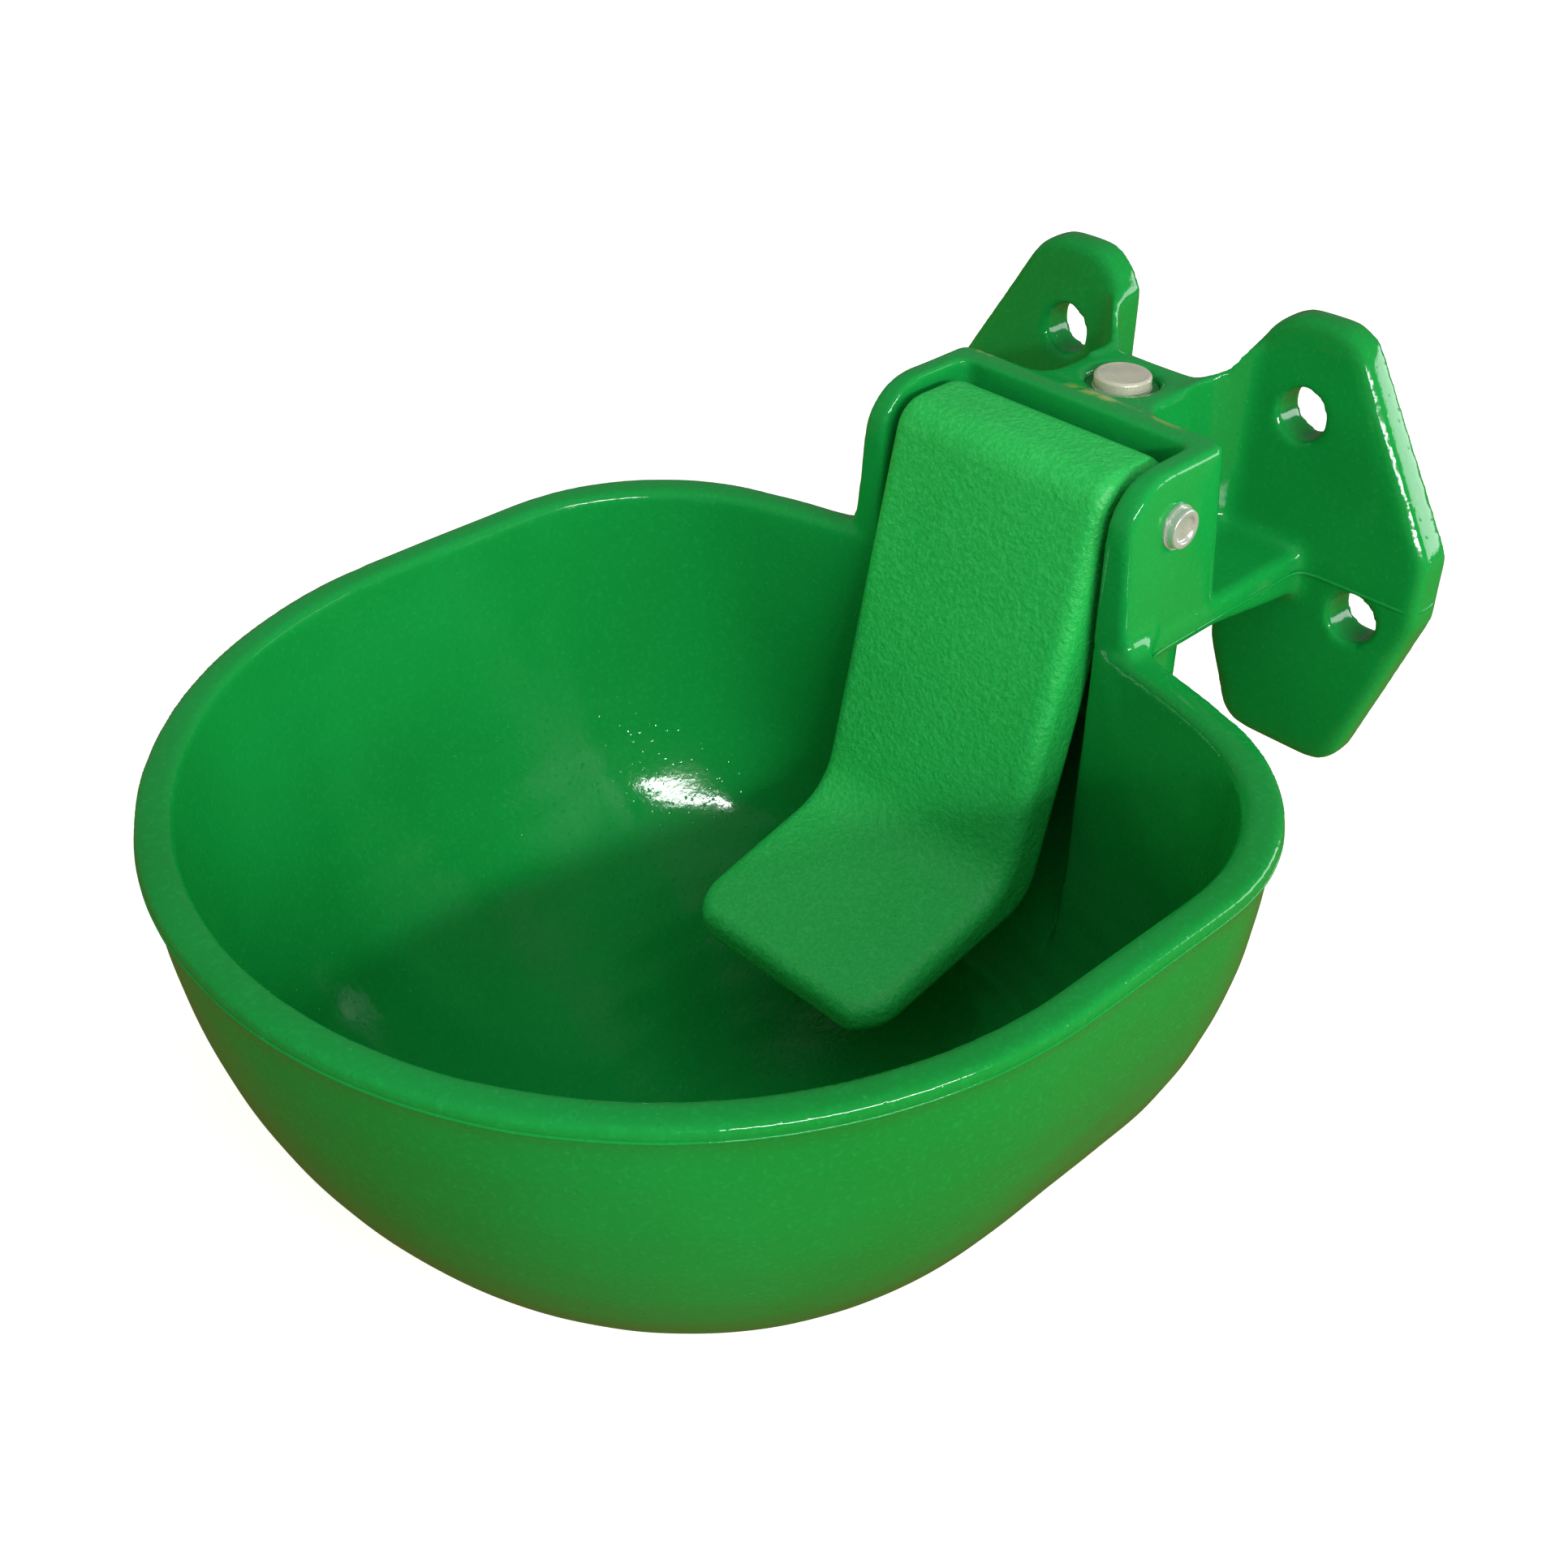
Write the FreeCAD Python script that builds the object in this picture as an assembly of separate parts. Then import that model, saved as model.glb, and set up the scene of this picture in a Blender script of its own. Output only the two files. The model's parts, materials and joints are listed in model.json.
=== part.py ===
import FreeCAD, Part
import math
import os

# Wall-hung drinking bowl for livestock with a tongue-operated valve.
# Millimetres. While the pieces are drawn, z = 0 is the plane of the rim, x = 0 the plane of
# symmetry and y = 0 the middle of the bowl, with +Y towards the wall. Every piece is then moved
# so that the origin lies on the wall, midway between the two upper bolt holes.

Vector = FreeCAD.Vector
X_AXIS = Vector(1, 0, 0)
Y_AXIS = Vector(0, 1, 0)
Z_AXIS = Vector(0, 0, 1)

# Bowl
BOWL_HALF_WIDTH = 115.0     # rim, outside
BOWL_FRONT_Y = -109.5       # front of the rim
BOWL_REAR_Y = 116.0         # rear of the rim, inside the housing
BOWL_DEPTH = 139.5          # rim plane to the outside of the floor
BOWL_WALL = 6.8
RIM_WIDTH = 8.0
RIM_HEIGHT = 5.0
RIM_OUTER_ROUND = 1.6
RIM_BEVEL = 1.2
SHRINK_Y = 25.0             # the sections close in on this line as they go down
DEPTH_POWER = 2.15          # fullness of the bowl's profile
WIDTH_POWER = 1.95
REAR_DEPTH_POWER = 7.0      # the rear wall stays upright for longer
REAR_POWER = 2.3
CORNER_SHARE = 0.50         # rear corner radius over half width, at the rim
REAR_CURVE = 2.0            # radius of the rear wall over half width
SECTION_COUNT = 15
LAST_SECTION_ANGLE = 83.0

# Valve housing: two cheeks and a back wall round the paddle's recess
RECESS_HALF_WIDTH = 34.65
RECESS_BACK_Y = 134.5
RECESS_ROUND = 3.0
CHEEK_FRONT_Y = 105.0
CHEEK_WALL = 6.0            # at the top of the cheek
CHEEK_DRAFT = 3.5           # how much wider the housing is at the parting plane
CHEEK_NOSE_ROUND = 14.0
HOUSING_TOP_Z = 41.25
HOUSING_BACK_WALL = 7.5
HOUSING_CORNER_ROUND = 4.0
PARTING_Z = -1.0
HOUSING_EDGE_ROUND = 1.6
LOWER_CORNER_ROUND = 14.0
RECESS_SLOPE_TOP_Z = -46.0
RECESS_SLOPE_RUN = 38.0
RECESS_SLOPE_FALL = 55.0
SLOPE_STEP = 2.5            # the outside turns in this much lower than the inside
SHAFT_FRONT_Y = 60.0        # inside the bowl

# Neck with the water passage, and the plate at the parting plane
PASSAGE_Y = 154.1
NECK_HALF_WIDTH = 15.4
NECK_DRAFT = 1.4
NECK_REAR_WALL = 5.0
NECK_BOTTOM_Z = -43.25
NECK_STEP_Z = -22.0         # below this only a round boss goes on down
NECK_FLARE_ROUND = 12.0    # towards the wings
NECK_ROOT_ROUND = 8.0       # to the back of the housing
NECK_TOP_STEP = 0.6         # the neck's top lies this much below the housing's
PLATE_HALF_WIDTH = 44.8
PLATE_TOP_Z = 1.5
PLATE_BOTTOM_Z = -6.6       # at the housing
PLATE_DROP = 5.0            # how much lower it gets towards the wings
PLATE_FILLET = 9.0          # to the neck
PLATE_COVE = 5.0            # to the wings
PLATE_EDGE_ROUND = 2.5
RIM_COVE = 7.0              # in plan, between the plate's sides and the rim
CHEEK_FOOT_ROUND = 4.5      # hollow between the cheeks' sides and the top of the rim
SWEEP_R = 9.0               # from the neck's top up the inner sides of the lobes
PIPE_THREAD_R = 9.32        # G1/2, across the crests of the inside thread
PIPE_THREAD_LENGTH = 17.0
PASSAGE_R = 7.8

# Wall flange
WALL_Y = 187.5
WING_THICKNESS = 11.7       # at the parting ridge
WING_TAPER = 2.5            # how much thinner the wing gets towards its top and bottom
BOLT_HOLE_R = 6.75          # for M12 bolts
UPPER_HOLE_X = 36.9
UPPER_HOLE_Z = 35.6
LOWER_HOLE_X = 60.8
LOWER_HOLE_Z = -11.5
LOBE_R = 16.5
LOBE_Z = 43.2
WING_HALF_WIDTH = 77.3
WING_SHOULDER_Z = 9.5
WING_HIP_Z = -8.5
WING_BOTTOM_Z = -58.0
WING_BOTTOM_OUTER_X = 61.0
WING_BOTTOM_INNER_X = 28.5
WING_INNER_X = 20.3
WING_EDGE_ROUND = 2.0

# Hinge of the paddle
PIN_Y = 123.5
PIN_Z = 26.7
PIN_R = 4.0
PIN_CLEARANCE = 0.05
PIN_RIM_R = 4.9
PIN_RIM_LENGTH = 2.2
PIN_DISH_R = 3.3
PIN_DISH_DEPTH = 0.8
WASHER_R = 5.5
WASHER_THICKNESS = 0.8
SPOT_FACE_R = 5.9
SPOT_FACE_X = 41.1
PIN_TAIL = 2.6
CLIP_THICKNESS = 0.9
CLIP_R = 5.8
CLIP_GROOVE_DEPTH = 0.9

# Paddle
PADDLE_SIDE_GAP = 2.2       # to each cheek
PADDLE_TOP_Z = 39.6
PADDLE_NOSE_Y = 107.0
PADDLE_NOSE_ROUND = 9.0
PADDLE_REAR_Y = 132.6
PADDLE_REAR_ROUND = 9.0
KNEE_FRONT = (83.5, -65.0)
KNEE_ROUND = 16.0
TOE_TOP = (34.5, -78.3)
TOE_THICKNESS = 9.5
TOE_CORNER_ROUND = 12.0
KNEE_REAR = (96.0, -75.0)
KNEE_REAR_ROUND = 14.0
SKIRT_TOP = (116.5, 8.0)
PADDLE_SKIN = 5.0
PADDLE_EDGE_ROUND = 4.0
SKIRT_WALL = 4.0
RIB_WALL = 3.0
RIB_X = 12.0
BARREL_R = 8.6
PUSH_PAD_HALF_HEIGHT = 7.0
PADDLE_TO_STEM_GAP = 0.1

# Plug in the top of the passage
PLUG_PROUD = 1.5            # above the neck's top
PLUG_DISC_R = 7.2
PLUG_DISC_HEIGHT = 3.4
PLUG_BEVEL = 0.6
PLUG_THREAD_LENGTH = 11.0
PLUG_SEAL_STEP = 2.0
PLUG_SEAL_THICKNESS = 1.8
PLUG_SEAL_DEPTH = 1.5

# Valve, on an axis along Y
VALVE_Z = PARTING_Z
THREAD_CLEARANCE = 0.08
FIT_CLEARANCE = 0.05
VALVE_THREAD_R = 11.9
VALVE_HEX_ACROSS_FLATS = 30.0
VALVE_HEX_THICKNESS = 5.0
GASKET_THICKNESS = 1.5
GASKET_WIDTH = 2.6
VALVE_BARREL_LENGTH = 13.0
GUIDE_R = 6.5
GUIDE_LENGTH = 8.0
GUIDE_PORT_R = 1.3
GUIDE_PORT_COUNT = 6
GUIDE_RING_THICKNESS = 0.9
GUIDE_RING_DEPTH = 0.5
GUIDE_RING_WIDTH = 1.4
BODY_WEB = 3.0
BODY_WEB_BORE_R = 4.6
SEAT_THICKNESS = 2.5
SEAT_BORE_R = 4.2
SEAT_LIP_WIDTH = 1.0
SEAT_LIP_HEIGHT = 1.0
SEAT_R = 9.35
SEAT_TOUCH_GAP = 0.02
CAGE_WALL = 1.05
CAGE_LENGTH = 20.0
CAGE_END_WALL = 1.5
CAGE_WINDOW_WIDTH = 6.5
CAGE_WINDOW_COUNT = 4
STRAINER_WALL = 0.4
STRAINER_SLOT_WIDTH = 1.4
STRAINER_SLOT_COUNT = 12
STRAINER_SLOT_MARGIN = 2.0
CHAMBER_R = 10.6
CHAMBER_END_GAP = 0.8
STEM_R = 2.5
STEM_THREAD_R = 2.0
STEM_HEAD_R = 4.2
STEM_HEAD_LENGTH = 2.4
STEM_DOME_R = 8.0
STEM_PROUD = 10.0           # how far the head stands out of the hexagon
CARRIER_GAP = 0.35          # round the cup, inside the cage
DISC_THICKNESS = 3.5
CARRIER_WALL = 0.8
CARRIER_LIP = 0.7           # the disc stands this far out of its cup
CARRIER_FLOOR = 2.0
NUT_ACROSS_FLATS = 7.0
NUT_THICKNESS = 2.8
STEM_TAIL = 2.4
SPRING_WIRE_R = 0.45
SPRING_R = 5.6              # to the middle of the wire
SPRING_TURNS = 4.0

# Derived places
CAVITY_DEPTH = BOWL_DEPTH - BOWL_WALL
RIM_INSET = RIM_WIDTH - BOWL_WALL
HOUSING_BACK_Y = RECESS_BACK_Y + HOUSING_BACK_WALL
NECK_TOP_Z = HOUSING_TOP_Z - NECK_TOP_STEP
HOUSING_TOP_HALF_WIDTH = RECESS_HALF_WIDTH + CHEEK_WALL
HOUSING_HALF_WIDTH = HOUSING_TOP_HALF_WIDTH + CHEEK_DRAFT
WING_FRONT_Y = WALL_Y - WING_THICKNESS
NECK_REAR_Y = PASSAGE_Y + PIPE_THREAD_R + NECK_REAR_WALL
PADDLE_HALF_WIDTH = RECESS_HALF_WIDTH - PADDLE_SIDE_GAP
PLUG_TOP_Z = NECK_TOP_Z + PLUG_PROUD
PLUG_SHOULDER_Z = PLUG_TOP_Z - PLUG_DISC_HEIGHT
PLUG_BOTTOM_Z = PLUG_SHOULDER_Z - PLUG_THREAD_LENGTH
GASKET_Y = RECESS_BACK_Y - GASKET_THICKNESS
HEX_Y = GASKET_Y - VALVE_HEX_THICKNESS
BARREL_END_Y = GASKET_Y + VALVE_BARREL_LENGTH
RING_Y = HEX_Y + 0.6
GUIDE_Y = RING_Y + GUIDE_RING_THICKNESS
WEB_Y = GUIDE_Y + GUIDE_LENGTH
SEAT_Y = WEB_Y + BODY_WEB
CAGE_Y = SEAT_Y + SEAT_THICKNESS
CAGE_END_Y = CAGE_Y + CAGE_LENGTH
DISC_Y = CAGE_Y + SEAT_LIP_HEIGHT + SEAT_TOUCH_GAP
CAGE_INNER_R = SEAT_R - STRAINER_WALL - FIT_CLEARANCE - CAGE_WALL
CARRIER_R = CAGE_INNER_R - CARRIER_GAP
DISC_R = CARRIER_R - CARRIER_WALL - FIT_CLEARANCE
CARRIER_Y = DISC_Y + CARRIER_LIP
CARRIER_END_Y = DISC_Y + DISC_THICKNESS + CARRIER_FLOOR
STEM_TIP_Y = HEX_Y - STEM_PROUD
TO_WALL_FRAME = Vector(0, -WALL_Y, -UPPER_HOLE_Z)


# Helpers for profiles and solids

def rounded_profile(points, radii, place):
    """Closed face through 2D points, each corner rounded by its radius, placed by place(u, v)."""
    count = len(points)
    starts = []
    edges = []
    for i in range(count):
        corner = Vector(points[i][0], points[i][1], 0)
        before = Vector(points[i - 1][0], points[i - 1][1], 0) - corner
        after = Vector(points[(i + 1) % count][0], points[(i + 1) % count][1], 0) - corner
        before.normalize()
        after.normalize()
        half = before.getAngle(after) / 2
        reach = radii[i] / math.tan(half)
        middle = before + after
        if radii[i] > 0:
            middle.normalize()
            arc_middle = corner + middle * (radii[i] / math.sin(half) - radii[i])
        else:
            arc_middle = corner
        starts.append((corner + before * reach, arc_middle, corner + after * reach))
    for i in range(count):
        entry, arc_middle, leave = [place(p.x, p.y) for p in starts[i]]
        if radii[i] > 0:
            edges.append(Part.Arc(entry, arc_middle, leave).toShape())
        following = starts[(i + 1) % count][0]
        following = place(following.x, following.y)
        if leave.distanceToPoint(following) > 1e-6:
            edges.append(Part.LineSegment(leave, following).toShape())
    return Part.Face(Part.Wire(edges))


def side_profile(points, radii, x):
    """Face in a plane of constant x, from (y, z) points."""
    return rounded_profile(points, radii, lambda y, z: Vector(x, y, z))


def side_extrusion(points, radii, half_width):
    return side_profile(points, radii, -half_width).extrude(X_AXIS * (2 * half_width))


def plan_extrusion(points, radii, bottom, top):
    face = rounded_profile(points, radii, lambda x, y: Vector(x, y, bottom))
    return face.extrude(Z_AXIS * (top - bottom))


def box(x0, x1, y0, y1, z0, z1):
    return Part.makeBox(x1 - x0, y1 - y0, z1 - z0, Vector(x0, y0, z0))


def along_valve(radius, start, end):
    """Solid round bar on the valve's axis."""
    return Part.makeCylinder(radius, end - start, Vector(0, start, VALVE_Z), Y_AXIS)


def valve_tube(outer, inner, start, end):
    return along_valve(outer, start, end).cut(along_valve(inner, start, end))


def valve_hexagon(across_flats, start, end):
    corner_r = across_flats / math.sqrt(3)
    turns = [math.radians(60 * i) for i in range(7)]
    corners = [Vector(corner_r * math.sin(a), start, VALVE_Z + corner_r * math.cos(a)) for a in turns]
    hexagon = Part.Face(Part.makePolygon(corners)).extrude(Y_AXIS * (end - start))
    crown = Part.makeCone(corner_r - 0.6, corner_r + end - start, end - start + 0.6,
                          Vector(0, start, VALVE_Z), Y_AXIS)
    return hexagon.common(crown)


def across(radius, x0, x1):
    """Solid round bar on the hinge's axis."""
    return Part.makeCylinder(radius, x1 - x0, Vector(x0, PIN_Y, PIN_Z), X_AXIS)


def mirrored(shape):
    return shape.mirror(Vector(0, 0, 0), X_AXIS)


def edges_where(shape, test):
    return [edge for edge in shape.Edges if test(edge)]


def fused(shapes):
    return shapes[0].fuse(shapes[1:]).removeSplitter()


# Bowl casting

def bowl_outline(half_width, front_y, rear_y, corner_share, z):
    """One level section: half round in front, upright sides, round corners and a curved rear."""
    middle_y = front_y + half_width
    corner_r = corner_share * half_width
    rear_r = REAR_CURVE * half_width
    rear_centre = rear_y - rear_r
    corner_x = half_width - corner_r
    corner_y = rear_centre + math.sqrt((rear_r - corner_r) ** 2 - corner_x ** 2)
    reach = rear_r / (rear_r - corner_r)
    tangent = Vector(corner_x * reach, rear_centre + (corner_y - rear_centre) * reach, z)
    turn = math.atan2(tangent.y - corner_y, tangent.x - corner_x) / 2
    bulge = Vector(corner_x + corner_r * math.cos(turn), corner_y + corner_r * math.sin(turn), z)

    def other(point):
        return Vector(-point.x, point.y, point.z)

    side_front = Vector(half_width, middle_y, z)
    side_rear = Vector(half_width, corner_y, z)
    return Part.Wire([
        Part.Arc(other(side_front), Vector(0, front_y, z), side_front).toShape(),
        Part.LineSegment(side_front, side_rear).toShape(),
        Part.Arc(side_rear, bulge, tangent).toShape(),
        Part.Arc(tangent, Vector(0, rear_y, z), other(tangent)).toShape(),
        Part.Arc(other(tangent), other(bulge), other(side_rear)).toShape(),
        Part.LineSegment(other(side_rear), other(side_front)).toShape(),
    ])


def bowl_solid(inset, depth):
    """Solid of the bowl below the rim: sections that shrink to the floor."""
    wires = []
    for i in range(SECTION_COUNT):
        angle = math.radians(LAST_SECTION_ANGLE * i / (SECTION_COUNT - 1))
        fall = math.sin(angle) ** (2 / DEPTH_POWER)
        width = math.cos(angle) ** (2 / WIDTH_POWER)
        rear = (1 - fall ** REAR_DEPTH_POWER) ** (1 / REAR_POWER)
        half_width = (BOWL_HALF_WIDTH - inset) * width
        front_y = SHRINK_Y + (BOWL_FRONT_Y + inset - SHRINK_Y) * width
        rear_y = SHRINK_Y + (BOWL_REAR_Y - inset - SHRINK_Y) * rear
        share = CORNER_SHARE + (0.96 - CORNER_SHARE) * fall ** 2.5
        wires.append(bowl_outline(half_width, front_y, rear_y, share, -depth * fall))
    return Part.makeLoft(wires, True, True)


def rim_band(inset, bottom, top):
    outline = bowl_outline(BOWL_HALF_WIDTH - inset, BOWL_FRONT_Y + inset, BOWL_REAR_Y - inset,
                           CORNER_SHARE, bottom)
    return Part.Face(outline).extrude(Z_AXIS * (top - bottom))


def bowl_shell():
    rim = rim_band(0, -RIM_HEIGHT, 0)
    outer_edges = edges_where(rim, lambda e: abs(e.BoundBox.ZLength) < 1e-6)
    rim = rim.makeFillet(RIM_OUTER_ROUND, outer_edges)
    return fused([bowl_solid(RIM_INSET, BOWL_DEPTH), rim])


def bowl_cavity():
    """What is taken out of the bowl, flared at the mouth by the rim's inner bevel."""
    mouth = rim_band(RIM_WIDTH - RIM_BEVEL, 0, RIM_BEVEL / 4)
    flare = Part.makeLoft([
        bowl_outline(BOWL_HALF_WIDTH - inset, BOWL_FRONT_Y + inset, BOWL_REAR_Y - inset, CORNER_SHARE, z)
        for inset, z in ((RIM_WIDTH - RIM_BEVEL, 0), (RIM_WIDTH + RIM_BEVEL, -2 * RIM_BEVEL))], True, True)
    return fused([bowl_solid(RIM_WIDTH, CAVITY_DEPTH), flare, mouth])


def upper_housing():
    """Cheeks and back wall above the parting plane, as one drafted block."""
    def plan(half_width, z):
        points = ((-half_width, CHEEK_FRONT_Y), (half_width, CHEEK_FRONT_Y),
                  (half_width, HOUSING_BACK_Y), (-half_width, HOUSING_BACK_Y))
        radii = (0, 0, HOUSING_CORNER_ROUND, HOUSING_CORNER_ROUND)
        return rounded_profile(points, radii, lambda x, y: Vector(x, y, z)).OuterWire

    block = Part.makeLoft([plan(HOUSING_HALF_WIDTH, PARTING_Z),
                           plan(HOUSING_TOP_HALF_WIDTH, HOUSING_TOP_Z)], True, True)
    nose = side_extrusion(((CHEEK_FRONT_Y, PARTING_Z - 1), (HOUSING_BACK_Y, PARTING_Z - 1),
                           (HOUSING_BACK_Y, HOUSING_TOP_Z), (CHEEK_FRONT_Y, HOUSING_TOP_Z)),
                          (0, 0, 0, CHEEK_NOSE_ROUND), HOUSING_HALF_WIDTH + 1)
    block = block.common(nose)
    nose_edges = edges_where(block, lambda e: e.BoundBox.YMax < CHEEK_FRONT_Y + CHEEK_NOSE_ROUND + 0.1
                             and e.BoundBox.XLength < HOUSING_HALF_WIDTH and e.BoundBox.ZLength > 1)
    top_edges = edges_where(block, lambda e: e.BoundBox.ZMin > HOUSING_TOP_Z - 0.01
                            and (e.BoundBox.YMax > CHEEK_FRONT_Y + CHEEK_NOSE_ROUND + 0.1))
    return block.makeFillet(HOUSING_EDGE_ROUND, nose_edges + top_edges)


def rounded_shaft(half_width, corner_r, levels):
    """Upright shaft open to the bowl, through (rear y, z) levels, with round rear corners."""
    def plan(rear_y, z):
        points = ((-half_width, SHAFT_FRONT_Y), (half_width, SHAFT_FRONT_Y),
                  (half_width, rear_y), (-half_width, rear_y))
        return rounded_profile(points, (0, 0, corner_r, corner_r), lambda x, y: Vector(x, y, z)).OuterWire

    return Part.makeLoft([plan(rear_y, z) for rear_y, z in levels], True, True)


def lower_housing():
    """Outside of the recess below the plate: upright, then sloping in to the bowl."""
    slope_top = RECESS_SLOPE_TOP_Z - SLOPE_STEP
    levels = ((HOUSING_BACK_Y, PARTING_Z), (HOUSING_BACK_Y, slope_top),
              (HOUSING_BACK_Y - RECESS_SLOPE_RUN, slope_top - RECESS_SLOPE_FALL))
    return rounded_shaft(HOUSING_TOP_HALF_WIDTH, LOWER_CORNER_ROUND, levels)


def neck_plan(draft, z):
    """Level section of the neck: flared to the wings, with a notch between them behind."""
    front = RECESS_BACK_Y + 1
    side = NECK_HALF_WIDTH + draft
    root_x = side + NECK_ROOT_ROUND
    flare_x = side + 8
    flare_y = WING_FRONT_Y + 2
    notch_x = NECK_HALF_WIDTH - 4
    right = ((root_x, front), (root_x, HOUSING_BACK_Y), (side, HOUSING_BACK_Y), (side, WING_FRONT_Y - 6),
             (flare_x, flare_y), (flare_x, WALL_Y), (WING_INNER_X, WALL_Y), (WING_INNER_X, flare_y),
             (notch_x, NECK_REAR_Y))
    radii = (0, 0, NECK_ROOT_ROUND, NECK_FLARE_ROUND, 0, 0, 0, 0, 5)
    left = tuple((-x, y) for x, y in reversed(right))
    return rounded_profile(right + left, radii + tuple(reversed(radii)),
                           lambda x, y: Vector(x, y, z)).OuterWire


def neck():
    """Upright body of the water passage, drafted from the parting plane."""
    upper = Part.makeLoft([neck_plan(NECK_DRAFT, PARTING_Z), neck_plan(0, NECK_TOP_Z)], True, True)
    lower = Part.makeLoft([neck_plan(NECK_DRAFT, PARTING_Z), neck_plan(0, NECK_STEP_Z)], True, True)
    boss_r = NECK_REAR_Y - PASSAGE_Y
    boss = Part.makeCylinder(boss_r, NECK_STEP_Z - NECK_BOTTOM_Z, Vector(0, PASSAGE_Y, NECK_BOTTOM_Z))
    web = box(-boss_r, boss_r, RECESS_BACK_Y + 1, PASSAGE_Y, NECK_BOTTOM_Z, NECK_STEP_Z)
    return fused([upper, lower, boss, web] + lobe_sweeps())


def lobe_sweeps():
    """The neck's top drawn up in a hollow curve to the inner side of each upper lobe."""
    prism = Part.Face(neck_plan(0, NECK_TOP_Z - 1)).extrude(Z_AXIS * (SWEEP_R + 1))
    start_x = WING_INNER_X - SWEEP_R
    centre = Vector(start_x, NECK_REAR_Y - SWEEP_R, NECK_TOP_Z + SWEEP_R)
    rise = box(start_x, WING_INNER_X + SWEEP_R, NECK_REAR_Y - SWEEP_R, WALL_Y,
               NECK_TOP_Z - 1, NECK_TOP_Z + SWEEP_R)
    rise = rise.cut(Part.makeCylinder(SWEEP_R, WALL_Y, centre, Y_AXIS)).common(prism)
    return [rise, mirrored(rise)]


def plate():
    """Level plate from the rim past the housing to the wings, with big fillets into the neck."""
    front = CHEEK_FRONT_Y + 8
    rear = WING_FRONT_Y + 1
    level = side_extrusion(((front, PLATE_TOP_Z), (front, PLATE_BOTTOM_Z), (HOUSING_BACK_Y, PLATE_BOTTOM_Z),
                            (rear, PLATE_BOTTOM_Z - PLATE_DROP), (rear, PLATE_TOP_Z)),
                           (0, 0, 0, 0, 0), PLATE_HALF_WIDTH)
    level = level.makeFillet(PLATE_EDGE_ROUND, edges_where(
        level, lambda e: e.BoundBox.XLength < 1e-6 and e.BoundBox.YLength > PLATE_EDGE_ROUND))
    corner_x = NECK_HALF_WIDTH + NECK_DRAFT + PLATE_FILLET
    bottom = PLATE_BOTTOM_Z - PLATE_DROP / 2
    points = ((-corner_x, bottom - PLATE_FILLET), (corner_x, bottom - PLATE_FILLET),
              (corner_x, PLATE_TOP_Z + PLATE_FILLET), (-corner_x, PLATE_TOP_Z + PLATE_FILLET))
    core_front = RECESS_BACK_Y + 1
    core = rounded_profile(points, (0, 0, 0, 0), lambda x, z: Vector(x, core_front, z))
    core = core.extrude(Y_AXIS * (rear - core_front))
    for x in (-corner_x, corner_x):
        for z in (PLATE_TOP_Z + PLATE_FILLET, bottom - PLATE_FILLET):
            core = core.cut(Part.makeCylinder(PLATE_FILLET, rear - core_front + 2,
                                              Vector(x, core_front - 1, z), Y_AXIS))
    cove_x = PLATE_HALF_WIDTH - PLATE_EDGE_ROUND
    cove = box(-cove_x, cove_x, rear - PLATE_COVE, rear, PLATE_TOP_Z - 1, PLATE_TOP_Z + PLATE_COVE)
    cove = cove.cut(Part.makeCylinder(PLATE_COVE, 2 * cove_x, Vector(-cove_x, rear - PLATE_COVE,
                                                                     PLATE_TOP_Z + PLATE_COVE), X_AXIS))
    return fused([level, core, cove] + rim_coves())


def rim_coves():
    """Hollow corners in plan between the plate's sides and the back of the rim."""
    centre_x = PLATE_HALF_WIDTH + RIM_COVE
    rim_y = BOWL_REAR_Y - centre_x ** 2 / (2 * REAR_CURVE * BOWL_HALF_WIDTH)
    centre_y = rim_y + RIM_COVE
    corner = box(PLATE_HALF_WIDTH - PLATE_EDGE_ROUND, centre_x, rim_y - RIM_WIDTH / 2, centre_y,
                 PLATE_BOTTOM_Z + 1, 0)
    foot_x = HOUSING_HALF_WIDTH + CHEEK_FOOT_ROUND
    foot = box(HOUSING_HALF_WIDTH - 1, foot_x, CHEEK_FRONT_Y + 0.5, centre_y, -1, CHEEK_FOOT_ROUND)
    foot = foot.cut(Part.makeCylinder(CHEEK_FOOT_ROUND, centre_y, Vector(foot_x, 1, CHEEK_FOOT_ROUND), Y_AXIS))
    corner = corner.fuse(foot)
    corner = corner.cut(Part.makeCylinder(RIM_COVE, 3 * RIM_COVE, Vector(centre_x, centre_y, -2 * RIM_COVE)))
    return [corner, mirrored(corner)]


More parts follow.
